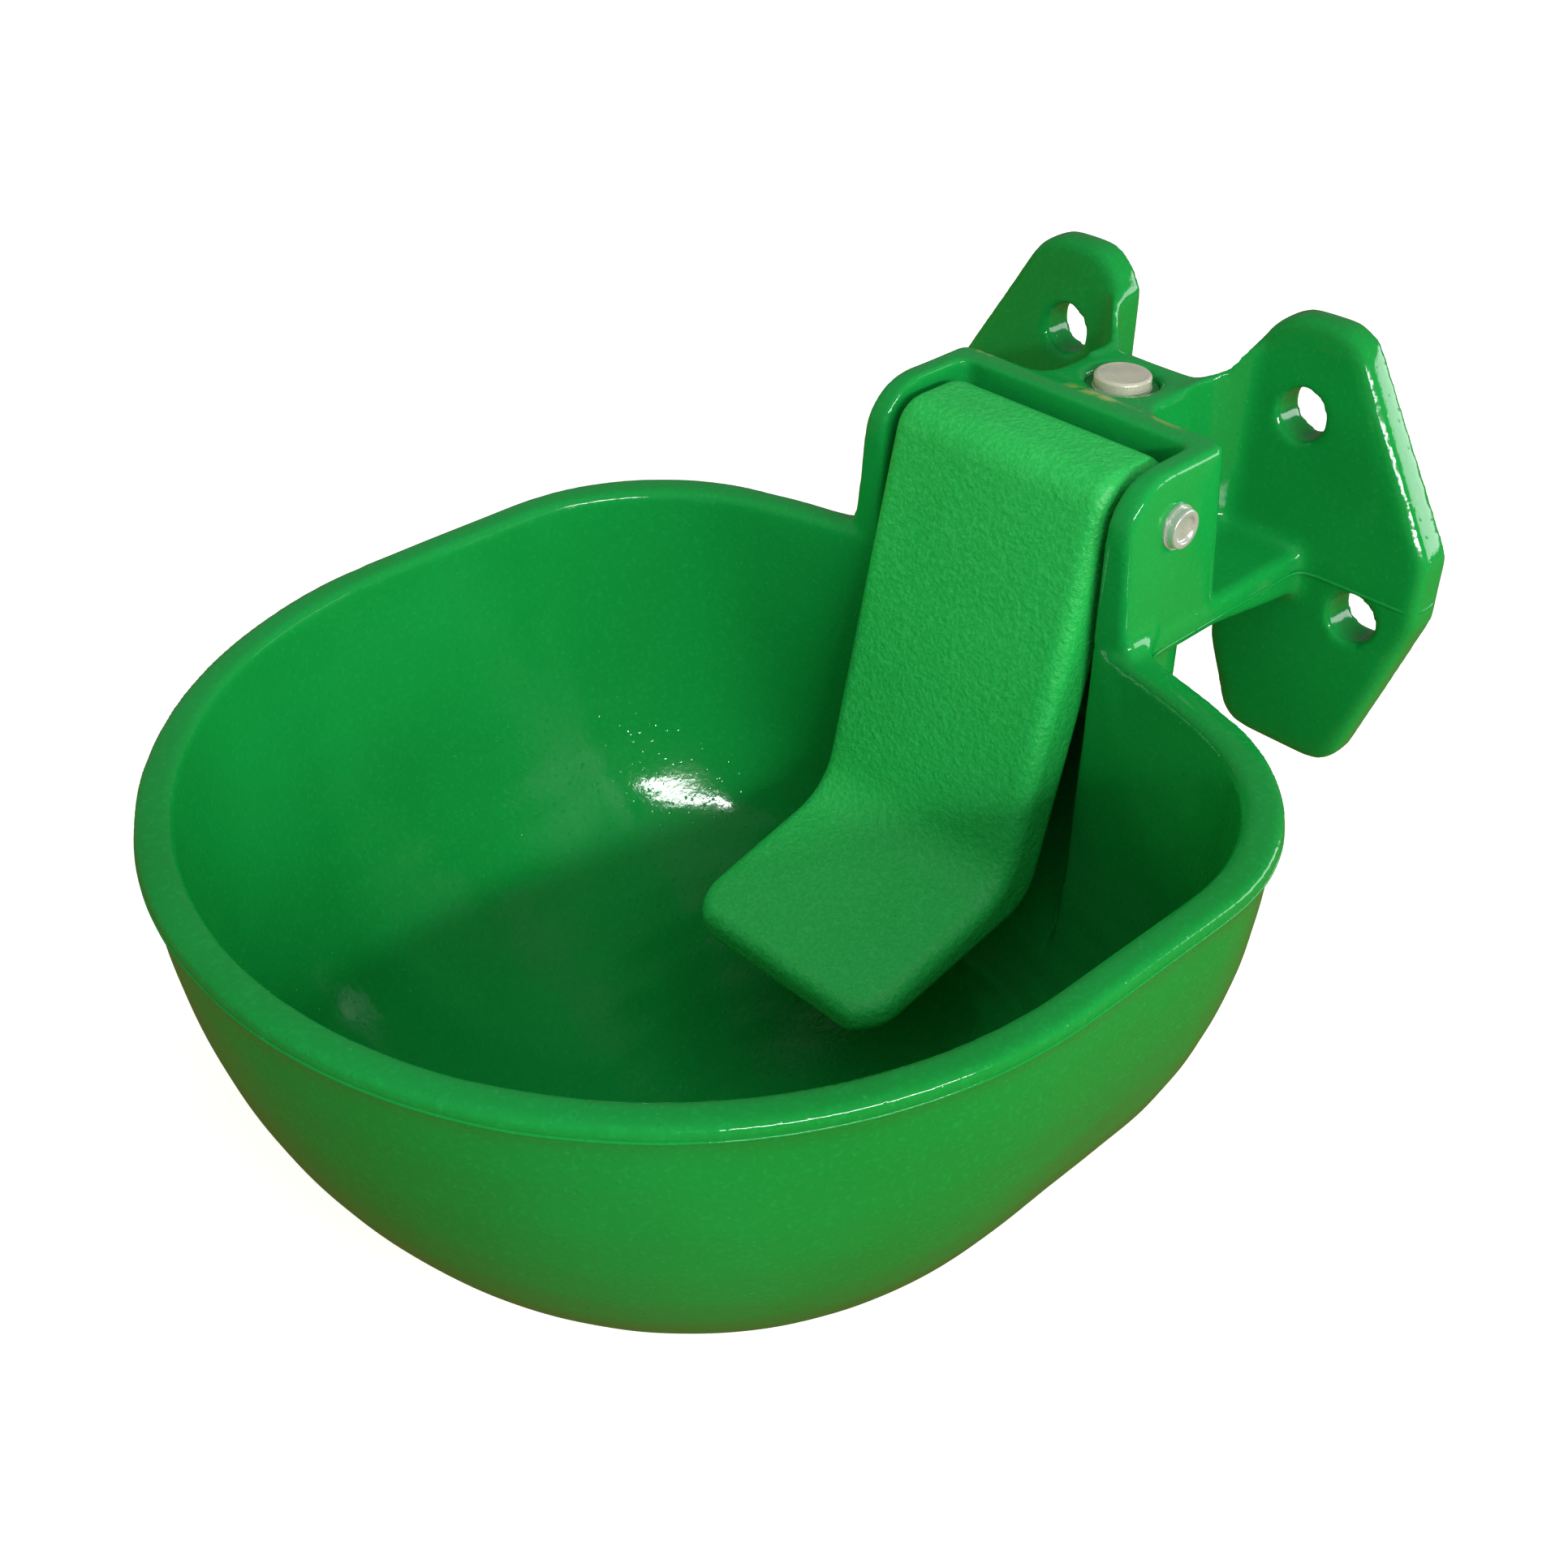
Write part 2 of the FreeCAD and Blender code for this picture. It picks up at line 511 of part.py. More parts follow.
def wing():
    """Right half of the wall flange: an upper and a lower lobe, thinner away from the ridge."""
    lobe_left = UPPER_HOLE_X - LOBE_R
    lobe_top = LOBE_Z + LOBE_R
    points = ((WING_INNER_X, -34), (WING_INNER_X, HOUSING_TOP_Z - 6), (lobe_left, LOBE_Z + 2),
              (lobe_left + 2.5, lobe_top), (UPPER_HOLE_X + 10.5, lobe_top),
              (WING_HALF_WIDTH, WING_SHOULDER_Z), (WING_HALF_WIDTH, WING_HIP_Z),
              (WING_BOTTOM_OUTER_X, WING_BOTTOM_Z), (WING_BOTTOM_INNER_X, WING_BOTTOM_Z))
    radii = (6, 4, 3, 14.0, 13.5, 8, 8, 9, 9)
    outline = rounded_profile(points, radii, lambda x, z: Vector(x, WALL_Y, z))
    slab = outline.extrude(Y_AXIS * -(WING_THICKNESS + 1))
    front = WING_FRONT_Y
    taper = side_extrusion(((WALL_Y, lobe_top + 1), (WALL_Y, WING_BOTTOM_Z - 1),
                            (front + WING_TAPER, WING_BOTTOM_Z - 1), (front, PARTING_Z),
                            (front + WING_TAPER, lobe_top + 1)), (0, 0, 0, 0, 0), WING_HALF_WIDTH + 1)
    slab = slab.common(taper)
    rim_edges = edges_where(slab, lambda e: e.BoundBox.YMax < front + WING_TAPER + 0.01
                            and not (e.BoundBox.ZLength < 1e-4 and e.BoundBox.XLength > 30
                                     and abs(e.BoundBox.ZMin - PARTING_Z) < 0.01))
    return slab.makeFillet(WING_EDGE_ROUND, rim_edges)


def recess_tool():
    """The paddle's recess, open at the top and into the bowl."""
    levels = ((RECESS_BACK_Y, HOUSING_TOP_Z + 5), (RECESS_BACK_Y, RECESS_SLOPE_TOP_Z),
              (RECESS_BACK_Y - RECESS_SLOPE_RUN, RECESS_SLOPE_TOP_Z - RECESS_SLOPE_FALL))
    return rounded_shaft(RECESS_HALF_WIDTH, RECESS_ROUND, levels)


def passage_tool():
    mouth = PIPE_THREAD_LENGTH
    through = Part.makeCylinder(PASSAGE_R, NECK_TOP_Z - NECK_BOTTOM_Z, Vector(0, PASSAGE_Y, NECK_BOTTOM_Z))
    upper = Part.makeCylinder(PIPE_THREAD_R, mouth + 1, Vector(0, PASSAGE_Y, NECK_TOP_Z - mouth))
    lower = Part.makeCylinder(PIPE_THREAD_R, mouth + 1, Vector(0, PASSAGE_Y, NECK_BOTTOM_Z - 1))
    thread = along_valve(VALVE_THREAD_R + THREAD_CLEARANCE, RECESS_BACK_Y - 1, BARREL_END_Y + 0.5)
    chamber = along_valve(CHAMBER_R, RECESS_BACK_Y, CAGE_END_Y + CHAMBER_END_GAP)
    return fused([through, upper, lower, thread, chamber])


def bolt_holes():
    holes = []
    for x, z in ((UPPER_HOLE_X, UPPER_HOLE_Z), (LOWER_HOLE_X, LOWER_HOLE_Z)):
        for side in (-1, 1):
            holes.append(Part.makeCylinder(BOLT_HOLE_R, WING_THICKNESS + 4,
                                           Vector(side * x, WING_FRONT_Y - 2, z), Y_AXIS))
    return Part.makeCompound(holes)


def pin_seats():
    """Hole for the hinge pin and a spot face for the washer on each cheek."""
    reach = HOUSING_HALF_WIDTH + 5
    hole = across(PIN_R + PIN_CLEARANCE, -reach, reach)
    faces = [across(SPOT_FACE_R, SPOT_FACE_X, reach), across(SPOT_FACE_R, -reach, -SPOT_FACE_X)]
    return hole.fuse(faces)


def bowl_casting():
    right_wing = wing()
    body = fused([bowl_shell(), upper_housing(), lower_housing(), neck(), plate(),
                  right_wing, mirrored(right_wing)])
    body = body.cut(bowl_cavity())
    for tool in (recess_tool(), passage_tool(), bolt_holes(), pin_seats()):
        body = body.cut(tool)
    return body


# Paddle and its hinge

def face_y(z):
    """Where the paddle's straight face lies at height z."""
    return PADDLE_NOSE_Y + (z - PADDLE_TOP_Z) * (KNEE_FRONT[0] - PADDLE_NOSE_Y) / (KNEE_FRONT[1] - PADDLE_TOP_Z)


def face_offset(start, end, depth):
    """The line from start to end, moved square to itself by depth towards its rear side."""
    along = (end[0] - start[0], end[1] - start[1])
    length = math.hypot(*along)
    shift = (-along[1] / length * depth, along[0] / length * depth)
    return (start[0] + shift[0], start[1] + shift[1]), (end[0] + shift[0], end[1] + shift[1])


def meeting_point(line_a, line_b):
    """Where two lines of the side profile cross."""
    (ax, ay), (bx, by) = line_a
    (cx, cy), (dx, dy) = line_b
    denominator = (ax - bx) * (cy - dy) - (ay - by) * (cx - dx)
    first = ax * by - ay * bx
    second = cx * dy - cy * dx
    return ((first * (cx - dx) - (ax - bx) * second) / denominator,
            (first * (cy - dy) - (ay - by) * second) / denominator)


def paddle_blank():
    """Outer form: rolled top, straight face, knee and foot."""
    nose = (PADDLE_NOSE_Y, PADDLE_TOP_Z)
    foot_slope = math.atan2(KNEE_FRONT[1] - TOE_TOP[1], KNEE_FRONT[0] - TOE_TOP[0])
    toe_under = (TOE_TOP[0] + TOE_THICKNESS * math.sin(foot_slope),
                 TOE_TOP[1] - TOE_THICKNESS * math.cos(foot_slope))
    points = ((PADDLE_REAR_Y, PADDLE_TOP_Z), nose, KNEE_FRONT, TOE_TOP, toe_under, KNEE_REAR,
              SKIRT_TOP, (PADDLE_REAR_Y, PIN_Z - BARREL_R))
    radii = (PADDLE_REAR_ROUND, PADDLE_NOSE_ROUND, KNEE_ROUND, 0, 0, KNEE_REAR_ROUND, 12.0, 5.0)
    blank = side_extrusion(points, radii, PADDLE_HALF_WIDTH)
    toe_y = min(TOE_TOP[0], toe_under[0])
    plan = plan_extrusion(((-PADDLE_HALF_WIDTH, toe_y - 0.2), (PADDLE_HALF_WIDTH, toe_y - 0.2),
                           (PADDLE_HALF_WIDTH, PADDLE_REAR_Y + 1), (-PADDLE_HALF_WIDTH, PADDLE_REAR_Y + 1)),
                          (TOE_CORNER_ROUND, TOE_CORNER_ROUND, 0, 0), TOE_TOP[1] - 20, PADDLE_TOP_Z + 1)
    return blank.common(plan)


def paddle_pocket(x0, x1):
    """Hollow behind the face between two ribs, open to the rear and below."""
    nose = (PADDLE_NOSE_Y, PADDLE_TOP_Z)
    face = face_offset(nose, KNEE_FRONT, PADDLE_SKIN)
    foot = face_offset(KNEE_FRONT, TOE_TOP, PADDLE_SKIN)
    knee = meeting_point(face, foot)
    top_z = PADDLE_TOP_Z - PADDLE_SKIN
    top_y = face[0][0] + (face[0][1] - top_z) * (face[1][0] - face[0][0]) / (face[0][1] - face[1][1])
    toe = (foot[1][0] + 10.0, foot[1][1] + 10.0 * (foot[0][1] - foot[1][1]) / (foot[0][0] - foot[1][0]))
    points = ((PADDLE_REAR_Y + 5, top_z), (top_y, top_z), knee, toe, (toe[0], toe[1] - 30),
              (PADDLE_REAR_Y + 5, toe[1] - 30))
    return side_profile(points, (0, 6.0, 14.0, 0, 0, 0), x0).extrude(X_AXIS * (x1 - x0))


def distance_to_face_line(y, z):
    """How far a point of the side view lies from the line rear top, nose, knee, toe."""
    line = ((PADDLE_REAR_Y, PADDLE_TOP_Z), (PADDLE_NOSE_Y, PADDLE_TOP_Z), KNEE_FRONT, TOE_TOP)
    gaps = []
    for (y0, z0), (y1, z1) in zip(line, line[1:]):
        length_squared = (y1 - y0) ** 2 + (z1 - z0) ** 2
        share = ((y - y0) * (y1 - y0) + (z - z0) * (z1 - z0)) / length_squared
        share = min(1, max(0, share))
        gaps.append(math.hypot(y - y0 - share * (y1 - y0), z - z0 - share * (z1 - z0)))
    return min(gaps)


def is_face_rim(edge):
    """True for the edges that run round the paddle's visible face."""
    middle = edge.valueAt((edge.FirstParameter + edge.LastParameter) / 2)
    box_ = edge.BoundBox
    is_seam = box_.XLength > PADDLE_HALF_WIDTH and middle.y > TOE_TOP[0] + 1
    return distance_to_face_line(middle.y, middle.z) < 0.3 * TOE_THICKNESS and not is_seam


def paddle():
    blank = paddle_blank()
    blank = blank.makeFillet(PADDLE_EDGE_ROUND, edges_where(blank, is_face_rim))
    inner = PADDLE_HALF_WIDTH - SKIRT_WALL
    bays = ((-inner, -RIB_X - RIB_WALL / 2), (-RIB_X + RIB_WALL / 2, RIB_X - RIB_WALL / 2),
            (RIB_X + RIB_WALL / 2, inner))
    body = blank
    for x0, x1 in bays:
        body = body.cut(paddle_pocket(x0, x1))
    push_face_y = STEM_TIP_Y - PADDLE_TO_STEM_GAP
    pad_top_z = VALVE_Z + PUSH_PAD_HALF_HEIGHT
    pad = box(-RIB_X, RIB_X, face_y(pad_top_z) + PADDLE_SKIN / 4, push_face_y,
              pad_top_z - 2 * PUSH_PAD_HALF_HEIGHT, pad_top_z)
    barrel = across(BARREL_R, -PADDLE_HALF_WIDTH, PADDLE_HALF_WIDTH).common(blank)
    clearance = box(-RIB_X - RIB_WALL, RIB_X + RIB_WALL, push_face_y, PADDLE_REAR_Y + 5,
                    TOE_TOP[1] - 20, PIN_Z - BARREL_R - 2)
    body = fused([body, pad, barrel]).cut(clearance)
    return body.cut(across(PIN_R + PIN_CLEARANCE, -PADDLE_HALF_WIDTH - 1, PADDLE_HALF_WIDTH + 1))


def hinge_pin():
    """Round pin with a dished button on the right and a groove for the clip on the left."""
    washer_x = SPOT_FACE_X + WASHER_THICKNESS
    tail_x = -washer_x - CLIP_THICKNESS - PIN_TAIL
    shank = across(PIN_R, tail_x, washer_x)
    tail = Part.makeCone(PIN_R - 0.8, PIN_R, 0.8, Vector(tail_x, PIN_Y, PIN_Z), X_AXIS)
    shank = shank.cut(across(PIN_R + 1, tail_x - 1, tail_x + 0.8)).fuse(tail)
    button = across(PIN_RIM_R, washer_x, washer_x + PIN_RIM_LENGTH)
    button = button.makeFillet(0.6, edges_where(button, lambda e: e.BoundBox.XMin > washer_x + 1
                                                and e.BoundBox.XLength < 1e-6))
    dish = across(PIN_DISH_R, washer_x + PIN_RIM_LENGTH - PIN_DISH_DEPTH, washer_x + PIN_RIM_LENGTH + 1)
    groove_x = -washer_x - CLIP_THICKNESS
    groove = across(PIN_R + 1, groove_x, -washer_x).cut(
        across(PIN_R - CLIP_GROOVE_DEPTH, groove_x - 1, -washer_x + 1))
    return fused([shank, button]).cut(dish).cut(groove)


def pin_washers():
    """The two equal washers between the cheeks and the pin's ends."""
    def washer(x0):
        ring = across(WASHER_R, x0, x0 + WASHER_THICKNESS)
        return ring.cut(across(PIN_R + PIN_CLEARANCE, x0 - 1, x0 + WASHER_THICKNESS + 1))

    return Part.makeCompound([washer(SPOT_FACE_X), washer(-SPOT_FACE_X - WASHER_THICKNESS)])


def pin_clip():
    """Open snap ring in the pin's groove."""
    start = -SPOT_FACE_X - WASHER_THICKNESS - CLIP_THICKNESS
    ring = across(CLIP_R, start, start + CLIP_THICKNESS)
    ring = ring.cut(across(PIN_R - CLIP_GROOVE_DEPTH + FIT_CLEARANCE, start - 1, start + CLIP_THICKNESS + 1))
    gap = box(start - 1, start + CLIP_THICKNESS + 1, PIN_Y - 1.8, PIN_Y + 1.8, PIN_Z - CLIP_R - 1, PIN_Z)
    return ring.cut(gap)


# Plug in the top of the passage

def upright_bar(radius, z0, z1):
    return Part.makeCylinder(radius, z1 - z0, Vector(0, PASSAGE_Y, z0))


def inlet_plug():
    """Threaded plug with a raised bright disc and a groove for its seal."""
    thread_r = PIPE_THREAD_R - THREAD_CLEARANCE
    thread = upright_bar(thread_r, PLUG_BOTTOM_Z, PLUG_SHOULDER_Z)
    disc = upright_bar(PLUG_DISC_R, PLUG_SHOULDER_Z, PLUG_TOP_Z)
    disc = disc.makeChamfer(PLUG_BEVEL, edges_where(disc, lambda e: e.BoundBox.ZMin > PLUG_TOP_Z - 1e-3))
    seal_top = PLUG_BOTTOM_Z + PLUG_SEAL_STEP + PLUG_SEAL_THICKNESS
    groove = upright_bar(thread_r + 1, PLUG_BOTTOM_Z + PLUG_SEAL_STEP, seal_top)
    groove = groove.cut(upright_bar(thread_r - PLUG_SEAL_DEPTH, PLUG_BOTTOM_Z, seal_top + 1))
    return fused([thread, disc]).cut(groove)


def plug_seal():
    inner = PIPE_THREAD_R - THREAD_CLEARANCE - PLUG_SEAL_DEPTH + FIT_CLEARANCE
    outer = PIPE_THREAD_R - FIT_CLEARANCE
    bottom = PLUG_BOTTOM_Z + PLUG_SEAL_STEP + FIT_CLEARANCE
    top = bottom + PLUG_SEAL_THICKNESS - 2 * FIT_CLEARANCE
    ring = upright_bar(outer, bottom, top).cut(upright_bar(inner, bottom - 1, top + 1))
    return ring.makeChamfer(0.4, edges_where(ring, lambda e: e.BoundBox.ZLength < 1e-6))


# Valve

def valve_body():
    """Hexagon, threaded barrel and the stepped bore for guide, seat and cage."""
    blank = fused([valve_hexagon(VALVE_HEX_ACROSS_FLATS, HEX_Y, GASKET_Y),
                   along_valve(VALVE_THREAD_R, GASKET_Y, BARREL_END_Y)])
    guide_bore = along_valve(GUIDE_R, HEX_Y - 1, WEB_Y)
    ring_groove = along_valve(GUIDE_R + GUIDE_RING_DEPTH, RING_Y, GUIDE_Y)
    web_bore = along_valve(BODY_WEB_BORE_R, WEB_Y - 1, SEAT_Y + 1)
    cage_bore = along_valve(SEAT_R + THREAD_CLEARANCE, SEAT_Y, BARREL_END_Y + 1)
    return blank.cut(fused([guide_bore, ring_groove, web_bore, cage_bore]))


def valve_gasket():
    inner = VALVE_THREAD_R + FIT_CLEARANCE
    return valve_tube(inner + GASKET_WIDTH, inner, GASKET_Y, RECESS_BACK_Y)


def stem_guide():
    """Bush for the stem with a ring of water ports."""
    bush = valve_tube(GUIDE_R - FIT_CLEARANCE, STEM_R + FIT_CLEARANCE, GUIDE_Y, WEB_Y)
    port_circle = (GUIDE_R + STEM_R) / 2
    for i in range(GUIDE_PORT_COUNT):
        angle = math.radians(360 * i / GUIDE_PORT_COUNT)
        centre = Vector(port_circle * math.cos(angle), GUIDE_Y - 1, VALVE_Z + port_circle * math.sin(angle))
        bush = bush.cut(Part.makeCylinder(GUIDE_PORT_R, GUIDE_LENGTH + 2, centre, Y_AXIS))
    return bush


def guide_ring():
    outer = GUIDE_R + GUIDE_RING_DEPTH - FIT_CLEARANCE
    ring = valve_tube(outer, outer - GUIDE_RING_WIDTH, RING_Y, GUIDE_Y)
    return ring.cut(box(-1.5, 1.5, RING_Y - 1, GUIDE_Y + 1, VALVE_Z - outer - 1, VALVE_Z))


def valve_seat():
    """Plastic ring with a raised lip that the rubber disc closes on."""
    ring = valve_tube(SEAT_R - FIT_CLEARANCE, SEAT_BORE_R, SEAT_Y, CAGE_Y)
    lip = valve_tube(SEAT_BORE_R + SEAT_LIP_WIDTH, SEAT_BORE_R, CAGE_Y, CAGE_Y + SEAT_LIP_HEIGHT)
    return fused([ring, lip])


def spring_cage():
    """Thin cage behind the seat, with windows for the water and an end wall for the spring."""
    cage = along_valve(SEAT_R - FIT_CLEARANCE, CAGE_Y, BARREL_END_Y).fuse(
        along_valve(CAGE_INNER_R + CAGE_WALL, BARREL_END_Y, CAGE_END_Y)).removeSplitter()
    cage = cage.cut(along_valve(CAGE_INNER_R, CAGE_Y - 1, CAGE_END_Y - CAGE_END_WALL))
    window_start = BARREL_END_Y + 1.5
    window_end = CAGE_END_Y - CAGE_END_WALL - 2.0
    for i in range(CAGE_WINDOW_COUNT // 2):
        window = box(-SEAT_R - 2, SEAT_R + 2, window_start, window_end,
                     VALVE_Z - CAGE_WINDOW_WIDTH / 2, VALVE_Z + CAGE_WINDOW_WIDTH / 2)
        window.rotate(Vector(0, 0, VALVE_Z), Y_AXIS, 45 + 360 * i / CAGE_WINDOW_COUNT)
        cage = cage.cut(window)
    return cage


def cage_strainer():
    """Slotted sleeve over the cage's windows."""
    start = BARREL_END_Y + 0.1
    sleeve = valve_tube(SEAT_R, SEAT_R - STRAINER_WALL, start, CAGE_END_Y)
    for i in range(STRAINER_SLOT_COUNT // 2):
        slot = box(-SEAT_R - 1, SEAT_R + 1, start + STRAINER_SLOT_MARGIN, CAGE_END_Y - STRAINER_SLOT_MARGIN,
                   VALVE_Z - STRAINER_SLOT_WIDTH / 2, VALVE_Z + STRAINER_SLOT_WIDTH / 2)
        slot.rotate(Vector(0, 0, VALVE_Z), Y_AXIS, 360 * i / STRAINER_SLOT_COUNT)
        sleeve = sleeve.cut(slot)
    return sleeve


def valve_stem():
    """Push rod: domed head, guided shank, and a thinner threaded tail."""
    head_end = STEM_TIP_Y + STEM_HEAD_LENGTH
    dome = Part.makeSphere(STEM_DOME_R, Vector(0, STEM_TIP_Y + STEM_DOME_R, VALVE_Z))
    head = along_valve(STEM_HEAD_R, STEM_TIP_Y, head_end).common(dome)
    shank = along_valve(STEM_R, head_end, DISC_Y)
    tail = along_valve(STEM_THREAD_R, DISC_Y, CARRIER_END_Y + NUT_THICKNESS + STEM_TAIL)
    return fused([head, shank, tail])


def valve_disc():
    return valve_tube(DISC_R, STEM_THREAD_R + FIT_CLEARANCE, DISC_Y, DISC_Y + DISC_THICKNESS)


def disc_carrier():
    """Cup that holds the rubber disc and backs the spring."""
    cup = valve_tube(CARRIER_R, STEM_THREAD_R + FIT_CLEARANCE, CARRIER_Y, CARRIER_END_Y)
    return cup.cut(along_valve(DISC_R + FIT_CLEARANCE, CARRIER_Y - 1, DISC_Y + DISC_THICKNESS))


def carrier_nut():
    end = CARRIER_END_Y + NUT_THICKNESS
    hexagon = valve_hexagon(NUT_ACROSS_FLATS, CARRIER_END_Y, end)
    return hexagon.cut(along_valve(STEM_THREAD_R + FIT_CLEARANCE, CARRIER_END_Y - 1, end + 1))


def valve_spring():
    """Open coil spring from the carrier to the cage's end wall."""
    start = CARRIER_END_Y + SPRING_WIRE_R + FIT_CLEARANCE
    end = CAGE_END_Y - CAGE_END_WALL - SPRING_WIRE_R - FIT_CLEARANCE
    helix = Part.makeHelix((end - start) / SPRING_TURNS, end - start, SPRING_R)
    corners = [Vector(SPRING_R + a, 0, b) for a, b in ((-SPRING_WIRE_R, -SPRING_WIRE_R),
                                                       (SPRING_WIRE_R, -SPRING_WIRE_R),
                                                       (SPRING_WIRE_R, SPRING_WIRE_R),
                                                       (-SPRING_WIRE_R, SPRING_WIRE_R),
                                                       (-SPRING_WIRE_R, -SPRING_WIRE_R))]
    wire_section = Part.makePolygon(corners)
    coil = Part.Wire(helix).makePipeShell([wire_section], True, True)
    coil.rotate(Vector(0, 0, 0), X_AXIS, -90)
    coil.translate(Vector(0, start, VALVE_Z))
    return coil


PIECES = {
    "bowl_casting": bowl_casting,
    "paddle": paddle,
    "hinge_pin": hinge_pin,
    "pin_washers": pin_washers,
    "pin_clip": pin_clip,
    "inlet_plug": inlet_plug,
    "plug_seal": plug_seal,
    "valve_body": valve_body,
    "valve_gasket": valve_gasket,
    "stem_guide": stem_guide,
    "guide_ring": guide_ring,
    "valve_seat": valve_seat,
    "spring_cage": spring_cage,
    "cage_strainer": cage_strainer,
    "valve_stem": valve_stem,
    "valve_disc": valve_disc,
    "disc_carrier": disc_carrier,
    "carrier_nut": carrier_nut,
    "valve_spring": valve_spring,
}

os.makedirs("parts", exist_ok=True)
for node, build_piece in PIECES.items():
    piece = build_piece()
    piece.translate(TO_WALL_FRAME)
    piece.exportStep("parts/" + node + ".step")
    print(node, len(piece.Solids), "solids", round(piece.Volume), "mm3, valid:", piece.isValid())
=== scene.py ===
import bpy
import bmesh
import json
import math
import numpy as np
from mathutils import Matrix, Vector, noise

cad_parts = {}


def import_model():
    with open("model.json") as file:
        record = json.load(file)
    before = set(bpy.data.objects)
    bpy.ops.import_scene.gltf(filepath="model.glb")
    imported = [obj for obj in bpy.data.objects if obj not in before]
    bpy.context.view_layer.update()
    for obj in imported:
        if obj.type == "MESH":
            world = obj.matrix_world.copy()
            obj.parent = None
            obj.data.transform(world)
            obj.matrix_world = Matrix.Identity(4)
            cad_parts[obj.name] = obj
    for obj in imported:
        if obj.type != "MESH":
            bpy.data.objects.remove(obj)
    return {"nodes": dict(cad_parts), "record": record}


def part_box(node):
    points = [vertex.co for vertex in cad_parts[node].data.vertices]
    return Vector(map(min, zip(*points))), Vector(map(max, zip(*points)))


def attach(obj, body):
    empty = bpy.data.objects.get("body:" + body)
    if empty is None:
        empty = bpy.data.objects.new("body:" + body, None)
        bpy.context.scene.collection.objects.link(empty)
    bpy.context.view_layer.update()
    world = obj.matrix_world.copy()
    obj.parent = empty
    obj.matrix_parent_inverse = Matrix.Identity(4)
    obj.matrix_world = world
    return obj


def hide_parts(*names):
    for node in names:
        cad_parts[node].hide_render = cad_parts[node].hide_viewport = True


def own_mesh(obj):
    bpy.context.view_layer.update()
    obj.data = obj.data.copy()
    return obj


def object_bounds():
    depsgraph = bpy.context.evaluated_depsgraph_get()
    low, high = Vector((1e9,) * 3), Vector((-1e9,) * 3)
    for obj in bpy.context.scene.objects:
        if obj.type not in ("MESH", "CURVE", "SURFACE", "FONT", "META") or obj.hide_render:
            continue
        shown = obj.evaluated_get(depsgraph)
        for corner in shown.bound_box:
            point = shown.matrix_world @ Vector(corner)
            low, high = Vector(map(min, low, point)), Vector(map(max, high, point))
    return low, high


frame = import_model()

# Wall-hung drinking bowl for livestock: a glossy green enamelled casting, a satin green paddle on
# a steel pin, and a bright plug in the top of the water passage. Metres, in the CAD's own frame.

CAD_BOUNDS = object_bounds()
NODES = frame["nodes"]

# Camera, as fitted to the photograph
CAMERA_PLACE = Vector((0.26711, -0.41132, 0.20631))
CAMERA_AZIMUTH = 47.36
CAMERA_ELEVATION = 34.73
CAMERA_ROLL = -0.26
CAMERA_CLIP = 0.01
LENS_MM = 45.08
SENSOR_MM = 36.0
SHIFT_X = 0.0327
SHIFT_Y = -0.0199

# Places in the frame
RIM_Z = -0.0356
HOUSING_FRONT_Y = -0.0825
HOUSING_BACK_Y = -0.0455
HOUSING_TOP_Z = 0.00565
WING_FRONT_Y = -0.0117
WING_INNER_X = 0.020
BOLT_HOLES = ((0.0369, 0.0), (0.0608, -0.0471))     # x and z, on both sides
BORE_Y = -0.0334                                    # the water passage's upright axis
BORE_R = 0.0100
LOWER_THREAD_TOP_Z = -0.0618
THREAD_PITCH = 0.001814
THREAD_DEPTH = 0.0004
PLUG_R = 0.0072
PIN_Y = -0.0640
PIN_Z = -0.0089
BOWL_MIDDLE = Vector((0, -0.1525, -0.03))

# Soft meshes: an even remesh, then smoothing passes. The walls' share grows from 0 to 1 over the
# fades, and the wings' share stops short of the bolt holes.
CASTING_VOXEL = 0.0011
CASTING_SMOOTHING = 5
WALL_SMOOTHING = 70
WALL_BELOW_RIM = 0.0025
WALL_FADE_DOWN = 0.006
WALL_OFF_HOUSING = 0.010
WALL_FADE_FORWARD = 0.010
WALL_STEPS = 12
WING_SMOOTHING = 14
WING_MARGIN = 0.001
HOLE_KEPT_R = 0.0095
CASTING_WAVE_LENGTH = 0.014
CASTING_WAVE_HEIGHT = 0.00012
PADDLE_VOXEL = 0.0009
PADDLE_SMOOTHING = 4
SHADOW_OFFSET = 0.2             # these two keep the shadows' edges free of facets
SHADOW_GEOMETRY_OFFSET = 0.3

# Turned pieces, as (along the axis, radius, round of the corner) from one end to the other
TURNED_SIDES = 96
CORNER_POINTS = 6
CORNER_HOLD = 1.3               # how far the points that hold a corner lie out, in its rounds
PIN_PROFILE = (
    (-0.0454, 0, 0), (-0.0454, 0.0032, 0.0001), (-0.0446, 0.0040, 0.0002),
    (-0.0428, 0.0040, 0.0001), (-0.0428, 0.0031, 0), (-0.0419, 0.0031, 0),
    (-0.0419, 0.0040, 0.0001), (0.0419, 0.0040, 0), (0.0419, 0.0049, 0.0002),
    (0.0441, 0.0049, 0.0006), (0.0441, 0.0035, 0.0003), (0.0434, 0.0029, 0.0004),
    (0.0433, 0, 0),
)
PLUG_PROFILE = (
    (-0.00785, 0, 0), (-0.00785, 0.00924, 0.0003), (-0.00585, 0.00924, 0.0001),
    (-0.00585, 0.00774, 0), (-0.00405, 0.00774, 0), (-0.00405, 0.00924, 0.0001),
    (0.00315, 0.00924, 0.0003), (0.00315, 0.0072, 0.0002), (0.00595, 0.0072, 0.0002),
    (0.00655, 0.0066, 0.0003), (0.00640, 0.0058, 0.0002), (0.00620, 0, 0),
)

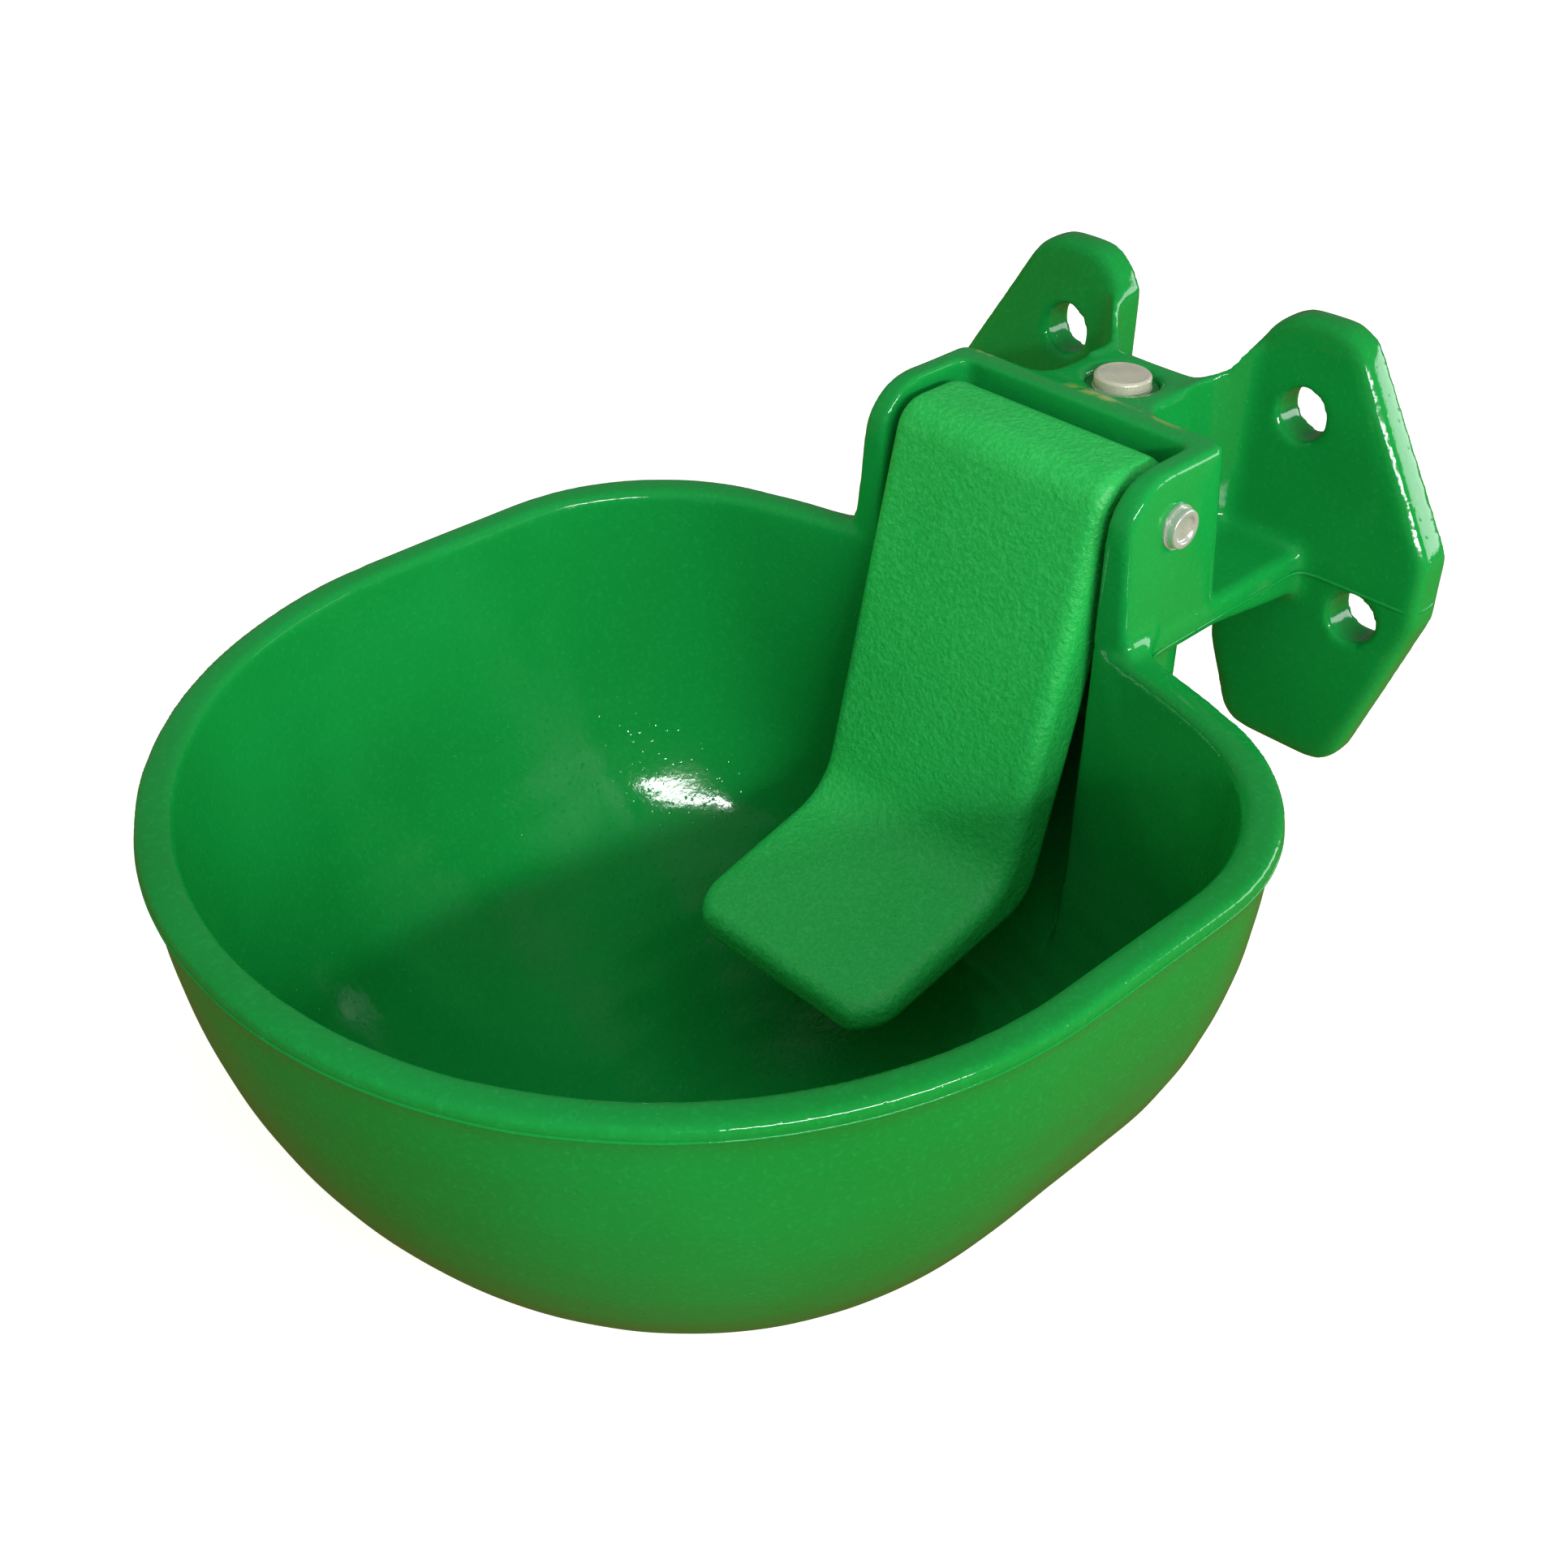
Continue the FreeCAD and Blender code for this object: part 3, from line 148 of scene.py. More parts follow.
# Valve spring, shortened by the stem's travel
SPRING_WIRE_R = 0.00045
SPRING_TURNS = 4
SPRING_STEPS_A_TURN = 32

# Raised line where the mould's halves met
PARTING_Z = -0.0390
PARTING_BEAD_R = 0.00045
PARTING_EVENING = 12            # passes that even out the line's steps
PARTING_END_Y = -0.0015         # nothing raised further back, where the flange lies on the wall
PARTING_FEWEST_POINTS = 8

# Colours
ENAMEL_DARK, ENAMEL_LIGHT = (0.004, 0.215, 0.030), (0.006, 0.285, 0.050)
ENAMEL_GRAIN = (0.014, 0.400, 0.090)
ENAMEL_SPECKS = (0.040, 0.380, 0.110)
ENAMEL_OCHRE_SPOT = (0.330, 0.380, 0.110)
# Enamel on the plug's shoulder, darker than the casting's enamel as painted shade in the ring round
# the disc
ENAMEL_ON_PLUG_WITH_PAINTED_SHADE = (0.005, 0.160, 0.030)
BARE_IRON = (0.300, 0.290, 0.270)
PLASTIC_DARK, PLASTIC_LIGHT = (0.012, 0.410, 0.064), (0.020, 0.490, 0.086)
PLASTIC_GRAIN = (0.050, 0.600, 0.145)
STAINLESS = (0.82, 0.83, 0.80)
BRIGHT_STEEL = (0.84, 0.80, 0.66)
BRASS = (0.70, 0.50, 0.20)
RUBBER_DARK, RUBBER_LIGHT = (0.012, 0.012, 0.012), (0.030, 0.029, 0.028)
SEAT_DARK, SEAT_LIGHT = (0.66, 0.66, 0.62), (0.76, 0.76, 0.72)

# Ochre-yellow spots along the housing's rear edge, as x of the middle and half the length
OCHRE_SPOTS = ((-0.0329, 0.0030), (0.0008, 0.0085), (0.0232, 0.0065))
OCHRE_LINE_Y = HOUSING_BACK_Y - 0.0010

# Floor: its own glow to the camera grows with the distance from the wall mount; then its colour to
# the camera, in reflections, and in the light that it throws back
FLOOR_GAP = 0.004
FLOOR_HALF_EDGE = 12.0
FLOOR_GLOW_START, FLOOR_GLOW_END = 0.35, 1.0
FLOOR_GLOW_NEAR, FLOOR_GLOW_FAR = 0.42, 0.95
FLOOR_WHITE = (0.95, 0.95, 0.95)
FLOOR_MIRRORED = (0.13, 0.11, 0.03)
FLOOR_BOUNCE = (0.35, 0.30, 0.10)
FLOOR_ROUGHNESS = 0.9
FLOOR_SPECULAR = 0.1

# World: its level in reflections, and on dull surfaces
WORLD_MIRRORED = 0.15
WORLD_LIGHT = 0.20

# Broad lights: name, azimuth, elevation, width in degrees, energy
BROAD_LIGHTS = (
    ("overhead", 50, 55, 100, 1.35),
    ("side", 110, 30, 100, 0.6),
)
# Soft boxes: name, azimuth, elevation, distance, width, height, power, colour, shows in the gloss
PLAIN, COOL, WARM = (1, 1, 1), (0.92, 0.97, 1.0), (1.0, 0.90, 0.50)
SOFT_LIGHTS = (
    ("key", 76, 23, 1.1, 0.85, 0.04, 9, PLAIN, True),
    ("rear_window", 147, 9, 1.3, 0.80, 0.35, 4.5, COOL, True),
    ("low_left", -75, 8, 1.2, 1.1, 0.25, 6, WARM, False),
    ("low_right", 112, 8, 1.2, 0.9, 0.25, 3, WARM, False),
)

# The Mix node's sockets when it mixes colours
MIX_A, MIX_B, MIX_RESULT = 6, 7, 2


def added(name, data):
    """A new object of the scene."""
    obj = bpy.data.objects.new(name, data)
    bpy.context.scene.collection.objects.link(obj)
    return obj


# Materials

class Shader:
    """A Principled material with short calls for its nodes."""

    def __init__(self, name):
        self.material = bpy.data.materials.new(name)
        self.material.use_nodes = True
        self.tree = self.material.node_tree
        self.principled = self.tree.nodes["Principled BSDF"]
        self.place = self.add("ShaderNodeTexCoord").outputs["Object"]

    def add(self, kind, **values):
        node = self.tree.nodes.new(kind)
        for key, value in values.items():
            setattr(node, key, value)
        return node

    def link(self, source, target):
        self.tree.links.new(source, target)

    def set(self, **values):
        for key, value in values.items():
            self.principled.inputs[key.replace("_", " ")].default_value = value

    def noise(self, scale, detail=2.0, roughness=0.5, stretch=None):
        """Noise over the object's own coordinates; scale is in waves a metre."""
        node = self.add("ShaderNodeTexNoise")
        node.inputs["Scale"].default_value = scale
        node.inputs["Detail"].default_value = detail
        node.inputs["Roughness"].default_value = roughness
        place = self.place
        if stretch:
            mapping = self.add("ShaderNodeMapping")
            mapping.inputs["Scale"].default_value = stretch
            self.link(place, mapping.inputs["Vector"])
            place = mapping.outputs["Vector"]
        self.link(place, node.inputs["Vector"])
        return node.outputs["Fac"]

    def cells(self, scale):
        """Distance from the middle of the nearest of scattered cells; scale is in cells a metre."""
        node = self.add("ShaderNodeTexVoronoi")
        node.inputs["Scale"].default_value = scale
        self.link(self.place, node.inputs["Vector"])
        return node.outputs["Distance"]

    def ramp(self, source, low, high, start=0.0, end=1.0):
        """Maps source from low..high to start..end, held at both ends."""
        node = self.add("ShaderNodeMapRange")
        for socket, value in (("From Min", low), ("From Max", high),
                              ("To Min", start), ("To Max", end)):
            node.inputs[socket].default_value = value
        self.link(source, node.inputs["Value"])
        return node.outputs["Result"]

    def math(self, operation, first, second=0):
        node = self.add("ShaderNodeMath", operation=operation)
        for socket, value in zip(node.inputs, (first, second)):
            if isinstance(value, (int, float)):
                socket.default_value = value
            else:
                self.link(value, socket)
        return node.outputs["Value"]

    def mix(self, share, first, second):
        """Colour between first and second, each a colour or a socket."""
        node = self.add("ShaderNodeMix", data_type="RGBA")
        self.link(share, node.inputs["Factor"])
        for socket, value in ((node.inputs[MIX_A], first), (node.inputs[MIX_B], second)):
            if isinstance(value, tuple):
                socket.default_value = (*value, 1.0)
            else:
                self.link(value, socket)
        return node.outputs[MIX_RESULT]

    def bump(self, height, distance, strength=1.0, under=None):
        """A bump on top of another, ending as a normal; distance is in metres for a height of 1."""
        node = self.add("ShaderNodeBump")
        node.inputs["Strength"].default_value = strength
        node.inputs["Distance"].default_value = distance
        self.link(height, node.inputs["Height"])
        if under:
            self.link(under, node.inputs["Normal"])
        return node.outputs["Normal"]

    def along(self, axis):
        """One of the object's own coordinates, by its letter."""
        node = self.add("ShaderNodeSeparateXYZ")
        self.link(self.place, node.inputs["Vector"])
        return node.outputs[axis]

    def distance_from(self, axis, middle):
        """How far a point is from that value of one coordinate, on either side."""
        return self.math("ABSOLUTE", self.math("SUBTRACT", self.along(axis), middle))

    def off_bore_axis(self):
        """Distance from the water passage's axis."""
        sideways = self.math("POWER", self.along("X"), 2.0)
        rearwards = self.math("POWER", self.math("SUBTRACT", self.along("Y"), BORE_Y), 2.0)
        return self.math("SQRT", self.math("ADD", sideways, rearwards))

    def colour(self, source):
        self.link(source, self.principled.inputs["Base Color"])

    def rough(self, source, low, high):
        """Roughness from low to high through the middle range of a noise."""
        self.link(self.ramp(source, 0.3, 0.7, low, high), self.principled.inputs["Roughness"])

    def normal(self, source):
        self.link(source, self.principled.inputs["Normal"])


def ochre_edge_spots(shader):
    """Share of ochre-yellow colour in the spots along the housing's rear top edge."""
    near_edge = shader.ramp(shader.distance_from("Y", OCHRE_LINE_Y), 0.0004, 0.0022, 1.0, 0.0)
    near_top = shader.ramp(shader.along("Z"), HOUSING_TOP_Z - 0.0022, HOUSING_TOP_Z - 0.0012)
    patches = 0
    for middle, reach in OCHRE_SPOTS:
        away = shader.distance_from("X", middle)
        patches = shader.math("MAXIMUM", patches, shader.ramp(away, reach * 0.6, reach, 1.0, 0.0))
    spot_breakup = shader.ramp(shader.noise(300.0, 4.0, 0.6), 0.36, 0.56)
    patches = shader.math("MULTIPLY", patches, spot_breakup)
    return shader.math("MULTIPLY", shader.math("MULTIPLY", near_edge, near_top), patches)


def enamel():
    """Glossy green enamel on a cast surface, with ochre-yellow spots along the housing's rear edge,
    and missing in the lower thread."""
    shader = Shader("green_enamel")
    body = shader.mix(shader.ramp(shader.noise(7.0, 3.0), 0.35, 0.65), ENAMEL_DARK, ENAMEL_LIGHT)
    grain = shader.noise(800.0, 2.0)
    body = shader.mix(shader.ramp(grain, 0.52, 0.75, 0.0, 0.20), body, ENAMEL_GRAIN)
    specks = shader.ramp(shader.cells(210.0), 0.04, 0.09, 0.25, 0.0)
    body = shader.mix(specks, body, ENAMEL_SPECKS)
    body = shader.mix(ochre_edge_spots(shader), body, ENAMEL_OCHRE_SPOT)

    height = shader.along("Z")
    in_bore = shader.ramp(shader.off_bore_axis(), BORE_R - 0.0003, BORE_R, 1.0, 0.0)
    low_down = shader.ramp(height, LOWER_THREAD_TOP_Z - 0.0002, LOWER_THREAD_TOP_Z, 1.0, 0.0)
    threaded = shader.math("MULTIPLY", in_bore, low_down)
    shader.colour(shader.mix(threaded, body, BARE_IRON))
    shader.link(threaded, shader.principled.inputs["Metallic"])
    shader.set(Specular_IOR_Level=0.48)
    shader.rough(shader.noise(60.0, 4.0), 0.07, 0.14)

    turns = shader.math("MULTIPLY", height, 2 * math.pi / THREAD_PITCH)
    flanks = shader.math("MULTIPLY", shader.math("SINE", turns), threaded)
    thread = shader.bump(flanks, THREAD_DEPTH)
    waves = shader.bump(shader.noise(95.0, 2.0), 0.00022, 0.35, thread)
    peel = shader.bump(shader.noise(620.0, 3.0), 0.00008, 0.5, waves)
    dots = shader.ramp(shader.cells(380.0), 0.0, 0.20, 1.0, 0.0)
    pimples = shader.bump(dots, 0.00009, 0.9, peel)
    shader.normal(shader.bump(grain, 0.00003, 0.5, pimples))
    return shader.material


def paddle_plastic():
    """Moulded plastic with a fine spark-eroded grain."""
    shader = Shader("green_plastic")
    tone = shader.ramp(shader.noise(11.0, 3.0), 0.35, 0.65)
    grain = shader.noise(900.0, 3.0, 0.6)
    shader.colour(shader.mix(shader.ramp(grain, 0.45, 0.70, 0.0, 0.5),
                             shader.mix(tone, PLASTIC_DARK, PLASTIC_LIGHT), PLASTIC_GRAIN))
    shader.set(Specular_IOR_Level=0.42)
    shader.rough(shader.noise(90.0, 3.0), 0.32, 0.44)
    coarse = shader.bump(shader.noise(480.0, 3.0), 0.00050, 0.8)
    shader.normal(shader.bump(grain, 0.00030, 1.0, coarse))
    return shader.material


def turned_metal(name, colour, roughness, stretch, darker=0.75, bare=1.0, painted=False):
    """Metal with fine tool marks along one direction and faint stains; bare is the share that no
     dull film covers, and painted puts enamel, darkened as painted shade, on what lies round the
     plug's disc."""
    shader = Shader(name)
    dark = tuple(c * darker for c in colour)
    body = shader.mix(shader.ramp(shader.noise(90.0, 2.0), 0.35, 0.65), dark, colour)
    shader.set(Metallic=bare)
    if painted:
        # enamel round the plug's disc, mixed darker as painted shade of the recess
        paint = shader.ramp(shader.off_bore_axis(), PLUG_R + 0.0001, PLUG_R + 0.0003)
        body = shader.mix(paint, body, ENAMEL_ON_PLUG_WITH_PAINTED_SHADE)
        shader.link(shader.ramp(paint, 0, 1, bare, 0.0), shader.principled.inputs["Metallic"])
    shader.colour(body)
    marks = shader.noise(900.0, 2.0, stretch=stretch)
    shader.rough(marks, roughness * 0.8, roughness * 1.4)
    shader.normal(shader.bump(marks, 0.00001, 0.3))
    return shader.material


def rubber():
    shader = Shader("rubber")
    tone = shader.ramp(shader.noise(60.0, 3.0), 0.3, 0.7)
    shader.colour(shader.mix(tone, RUBBER_DARK, RUBBER_LIGHT))
    shader.rough(shader.noise(300.0, 3.0), 0.55, 0.75)
    shader.normal(shader.bump(shader.noise(1500.0), 0.00004, 0.5))
    return shader.material


def seat_plastic():
    shader = Shader("seat_plastic")
    tone = shader.ramp(shader.noise(80.0, 3.0), 0.3, 0.7)
    shader.colour(shader.mix(tone, SEAT_DARK, SEAT_LIGHT))
    shader.rough(shader.noise(200.0, 2.0), 0.22, 0.34)
    shader.normal(shader.bump(shader.noise(900.0), 0.00002, 0.4))
    return shader.material


MATERIALS = {
    "green_enamel": enamel(),
    "green_plastic": paddle_plastic(),
    "stainless_steel": turned_metal("stainless_steel", STAINLESS, roughness=0.20,
                                    stretch=(0.15, 1.0, 1.0), darker=0.8, bare=0.6),
    "bright_steel": turned_metal("bright_steel", BRIGHT_STEEL, roughness=0.24,
                                 stretch=(1.0, 1.0, 3.0), bare=0.5, painted=True),
    "brass": turned_metal("brass", BRASS, roughness=0.28, stretch=(1.0, 0.15, 1.0)),
    "rubber": rubber(),
    "seat_plastic": seat_plastic(),
}


def paint_nodes():
    """Every CAD node takes the material of its slot in the record."""
    for entry in frame["record"]["subparts"]:
        materials = NODES[entry["node"]].data.materials
        for i in range(len(materials)):
            materials[i] = MATERIALS[entry["material_slot"]]
        if not materials:
            materials.append(MATERIALS[entry["material_slot"]])


# Softened meshes

def evaluated_mesh(obj):
    """The mesh after the object's modifiers, which are then taken off."""
    mesh = bpy.data.meshes.new_from_object(
        obj.evaluated_get(bpy.context.evaluated_depsgraph_get()))
    obj.modifiers.clear()
    obj.data = mesh
    return mesh


def smooth(obj, iterations, group=""):
    modifier = obj.modifiers.new("soft", "SMOOTH")
    modifier.factor = 0.5
    modifier.iterations = iterations
    modifier.vertex_group = group


def remeshed(node, name, voxel, material):
    """A copy of the node's mesh in even small faces."""
    copy = added(name, NODES[node].data.copy())
    remesh = copy.modifiers.new("even", "REMESH")
    remesh.mode = "VOXEL"
    remesh.voxel_size = voxel
    remesh.use_smooth_shade = True
    mesh = evaluated_mesh(copy)
    mesh.name = name
    mesh.materials.clear()
    mesh.materials.append(material)
    return copy


def places_of(mesh):
    places = np.empty(3 * len(mesh.vertices))
    mesh.vertices.foreach_get("co", places)
    return places.reshape(-1, 3)


def cast_waves(mesh, length, height):
    """Moves the vertices in and out by a slow noise, as a sand mould leaves them."""
    places = places_of(mesh)
    normals = np.empty(places.size)
    mesh.vertex_normals.foreach_get("vector", normals)
    shifts = np.array([noise.noise(place) for place in places / length])
    places += normals.reshape(-1, 3) * (shifts * height)[:, None]
    mesh.vertices.foreach_set("co", places.ravel())
    mesh.update()


def finished(piece, body, node):
    """The piece stands for the node, whose mesh it hides, and rides on its body; its shadows' edges
    are kept free of facets.
    """
    piece.cycles.shadow_terminator_offset = SHADOW_OFFSET
    piece.cycles.shadow_terminator_geometry_offset = SHADOW_GEOMETRY_OFFSET
    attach(piece, body)
    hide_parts(node)


def weigh_walls(piece, places):
    """Group of the bowl's walls, from the rim down and from the housing forwards."""
    depth = (RIM_Z - WALL_BELOW_RIM - places[:, 2]) / WALL_FADE_DOWN
    ahead = (HOUSING_FRONT_Y - WALL_OFF_HOUSING - places[:, 1]) / WALL_FADE_FORWARD
    share = np.clip(np.minimum(depth, ahead), 0, 1)
    walls = piece.vertex_groups.new(name="walls")
    for step in range(1, WALL_STEPS + 1):
        chosen = np.nonzero(np.round(share * WALL_STEPS) == step)[0]
        walls.add(chosen.tolist(), step / WALL_STEPS, "REPLACE")


def weigh_wings(piece, places):
    """Group of the flange's wings, without the edges of the bolt holes."""
    across = np.abs(places[:, 0])
    chosen = (across > WING_INNER_X) & (places[:, 1] > WING_FRONT_Y - WING_MARGIN)
    for x, z in BOLT_HOLES:
        chosen &= np.hypot(across - x, places[:, 2] - z) > HOLE_KEPT_R
    wings = piece.vertex_groups.new(name="wings")
    wings.add(np.nonzero(chosen)[0].tolist(), 1.0, "REPLACE")


def casting():
    """The casting with soft edges, and with the steps of the bowl's sections smoothed out of its
    walls."""
    piece = remeshed("bowl_casting", "bowl_casting_skin", CASTING_VOXEL, MATERIALS["green_enamel"])
    places = places_of(piece.data)
    weigh_walls(piece, places)
    weigh_wings(piece, places)
    smooth(piece, WALL_SMOOTHING, "walls")
    smooth(piece, WING_SMOOTHING, "wings")
    smooth(piece, CASTING_SMOOTHING)
    evaluated_mesh(piece)
    cast_waves(piece.data, CASTING_WAVE_LENGTH, CASTING_WAVE_HEIGHT)
    finished(piece, "casting", "bowl_casting")


def paddle():
    piece = remeshed("paddle", "paddle_skin", PADDLE_VOXEL, MATERIALS["green_plastic"])
    smooth(piece, PADDLE_SMOOTHING)
    evaluated_mesh(piece)
    finished(piece, "paddle", "paddle")


# Turned and coiled pieces

def rounded_line(points):
    """A line through (along, radius, round) points, with each corner rounded and held by close
    points."""
    line = []
    for i, (along, radius, turn) in enumerate(points):
        corner = Vector((along, radius))
        if turn == 0:
            line.append(corner)
            continue
        before = (Vector(points[i - 1][:2]) - corner).normalized()
        after = (Vector(points[i + 1][:2]) - corner).normalized()
        line.append(corner + before * turn * CORNER_HOLD)
        for step in range(CORNER_POINTS):
            share = step / (CORNER_POINTS - 1)
            line.append((1 - share) ** 2 * (corner + before * turn)
                        + 2 * share * (1 - share) * corner
                        + share ** 2 * (corner + after * turn))
        line.append(corner + after * turn * CORNER_HOLD)
    return line


def turned(name, points, place):
    """Solid of revolution; place puts (along, sideways, upwards) into the frame."""
    mesh = bmesh.new()
    rows = []
    turns = [2 * math.pi * i / TURNED_SIDES for i in range(TURNED_SIDES)]
    for point in rounded_line(points):
        if point.y == 0:
            rows.append([mesh.verts.new(place(point.x, 0, 0))] * TURNED_SIDES)
            continue
        rows.append([mesh.verts.new(place(point.x, point.y * math.cos(turn),
                                          point.y * math.sin(turn))) for turn in turns])
    for row, following in zip(rows, rows[1:]):
        for i in range(TURNED_SIDES):
            corners = (row[i], row[i - 1], following[i - 1], following[i])
            mesh.faces.new(list(dict.fromkeys(corners))).smooth = True
    bmesh.ops.recalc_face_normals(mesh, faces=mesh.faces)
    data = bpy.data.meshes.new(name)
    mesh.to_mesh(data)
    mesh.free()
    return added(name, data)


def hinge_pin():
    piece = turned("hinge_pin_turned", PIN_PROFILE,
                   lambda along, sideways, up: (along, PIN_Y + sideways, PIN_Z + up))
    piece.data.materials.append(MATERIALS["stainless_steel"])
    finished(piece, "casting", "hinge_pin")


def inlet_plug():
    piece = turned("inlet_plug_turned", PLUG_PROFILE,
                   lambda along, sideways, back: (sideways, BORE_Y + back, along))
    piece.data.materials.append(MATERIALS["bright_steel"])
    finished(piece, "casting", "inlet_plug")


def valve_spring():
    """Coil of round wire, as long as the CAD spring's box, instead of the CAD's square wire."""
    low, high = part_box("valve_spring")
    middle_z = (low[2] + high[2]) / 2
    radius = (high[0] - low[0]) / 2 - SPRING_WIRE_R
    start, end = low[1] + SPRING_WIRE_R, high[1] - SPRING_WIRE_R
    curve = bpy.data.curves.new("valve_spring_line", "CURVE")
    curve.dimensions = "3D"
    curve.bevel_depth = SPRING_WIRE_R
    curve.bevel_resolution = 4
    curve.use_fill_caps = True
    spline = curve.splines.new("POLY")
    steps = SPRING_TURNS * SPRING_STEPS_A_TURN
    spline.points.add(steps)
    for i, point in enumerate(spline.points):
        angle = 2 * math.pi * SPRING_TURNS * i / steps
        point.co = (radius * math.cos(angle), start + (end - start) * i / steps,
                    middle_z + radius * math.sin(angle), 1)
    line = added("valve_spring_line", curve)
    bpy.context.view_layer.update()
    mesh = bpy.data.meshes.new_from_object(
        line.evaluated_get(bpy.context.evaluated_depsgraph_get()))
    bpy.data.objects.remove(line)
    mesh.shade_smooth()
    mesh.materials.clear()
    mesh.materials.append(MATERIALS["stainless_steel"])
    coil = added("valve_spring_coil", mesh)
    finished(coil, "casting", "valve_spring")
    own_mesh(coil)


# Parting bead

def outline_at(mesh, height):
    """Places along the widest line in which a level plane cuts the mesh."""
    cut = bmesh.new()
    cut.from_mesh(mesh)
    everything = cut.verts[:] + cut.edges[:] + cut.faces[:]
    found = bmesh.ops.bisect_plane(cut, geom=everything, plane_co=(0, 0, height),
                                   plane_no=(0, 0, 1))
    left = {item for item in found["geom_cut"] if isinstance(item, bmesh.types.BMEdge)}
    best, best_width = [], 0
    while left:
        edge = left.pop()
        start, corner = edge.verts
        line = [start.co.copy()]
        while corner is not start:
            line.append(corner.co.copy())
            following = next((item for item in corner.link_edges if item in left), None)
            if following is None:
                break
            left.discard(following)
            corner = following.other_vert(corner)
        width = max(place.x for place in line) - min(place.x for place in line)
        if width > best_width:
            best, best_width = line, width
    cut.free()
    return np.array(best)


def parting_bead():
    """Fine raised line round the casting where the two halves of its mould met, but for the side
    at the wall."""
    line = outline_at(bpy.data.objects["bowl_casting_skin"].data, PARTING_Z)
    for _ in range(PARTING_EVENING):
        line = (np.roll(line, 1, axis=0) + 2 * line + np.roll(line, -1, axis=0)) / 4
    shown = line[:, 1] < PARTING_END_Y
    start = int(np.nonzero(shown & ~np.roll(shown, 1))[0][0])
    line, shown = np.roll(line, -start, axis=0), np.roll(shown, -start)
    curve = bpy.data.curves.new("parting_bead", "CURVE")
    curve.dimensions = "3D"
    curve.bevel_depth = PARTING_BEAD_R
    curve.bevel_resolution = 2
    for run in np.split(line, np.nonzero(np.diff(shown.astype(int)))[0] + 1):
        if run[len(run) // 2][1] >= PARTING_END_Y or len(run) < PARTING_FEWEST_POINTS:
            continue
        spline = curve.splines.new("POLY")
        spline.points.add(len(run) - 1)
        for point, place in zip(spline.points, run):
            point.co = (*place, 1)
    piece = added("parting_bead", curve)
    curve.materials.append(MATERIALS["green_enamel"])
    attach(piece, "casting")


# Camera, floor and lights

def direction(azimuth, elevation):
    """From the bowl towards that side; azimuth 0 is straight in front. In radians."""
    return Vector((math.sin(azimuth) * math.cos(elevation),
                   -math.cos(azimuth) * math.cos(elevation), math.sin(elevation)))


def camera_axes():
    azimuth = math.radians(CAMERA_AZIMUTH)
    roll = math.radians(CAMERA_ROLL)
    back = direction(azimuth, math.radians(CAMERA_ELEVATION))
    level = Vector((math.cos(azimuth), math.sin(azimuth), 0))
    upright = back.cross(level)
    right = level * math.cos(roll) + upright * math.sin(roll)
    up = upright * math.cos(roll) - level * math.sin(roll)
    return right, up, back


def camera():
    data = bpy.data.cameras.new("camera")
    data.lens = LENS_MM
    data.sensor_width = SENSOR_MM
    data.sensor_fit = "HORIZONTAL"
    data.shift_x = SHIFT_X
    data.shift_y = SHIFT_Y
    data.clip_start = CAMERA_CLIP
    obj = added("camera", data)
    turn = Matrix(camera_axes()).transposed().to_4x4()
    obj.matrix_world = Matrix.Translation(CAMERA_PLACE) @ turn
    bpy.context.scene.camera = obj


def by_ray(tree, direct, mirrored, other):
    """The first colour for what the camera sees, straight or through glass, the second in
    reflections, and the third for the light that falls on dull surfaces."""
    rays = tree.nodes.new("ShaderNodeLightPath")
    seen = tree.nodes.new("ShaderNodeMath")
    seen.operation = "MAXIMUM"
    tree.links.new(rays.outputs["Is Camera Ray"], seen.inputs[0])
    tree.links.new(rays.outputs["Is Transmission Ray"], seen.inputs[1])
    indirect = tree.nodes.new("ShaderNodeMix")
    indirect.data_type = "RGBA"
    tree.links.new(rays.outputs["Is Glossy Ray"], indirect.inputs["Factor"])
    indirect.inputs[MIX_A].default_value = (*other, 1)
    indirect.inputs[MIX_B].default_value = (*mirrored, 1)
    level = tree.nodes.new("ShaderNodeMix")
    level.data_type = "RGBA"
    tree.links.new(seen.outputs["Value"], level.inputs["Factor"])
    tree.links.new(indirect.outputs[MIX_RESULT], level.inputs[MIX_A])
    level.inputs[MIX_B].default_value = (*direct, 1)
    return level.outputs[MIX_RESULT]


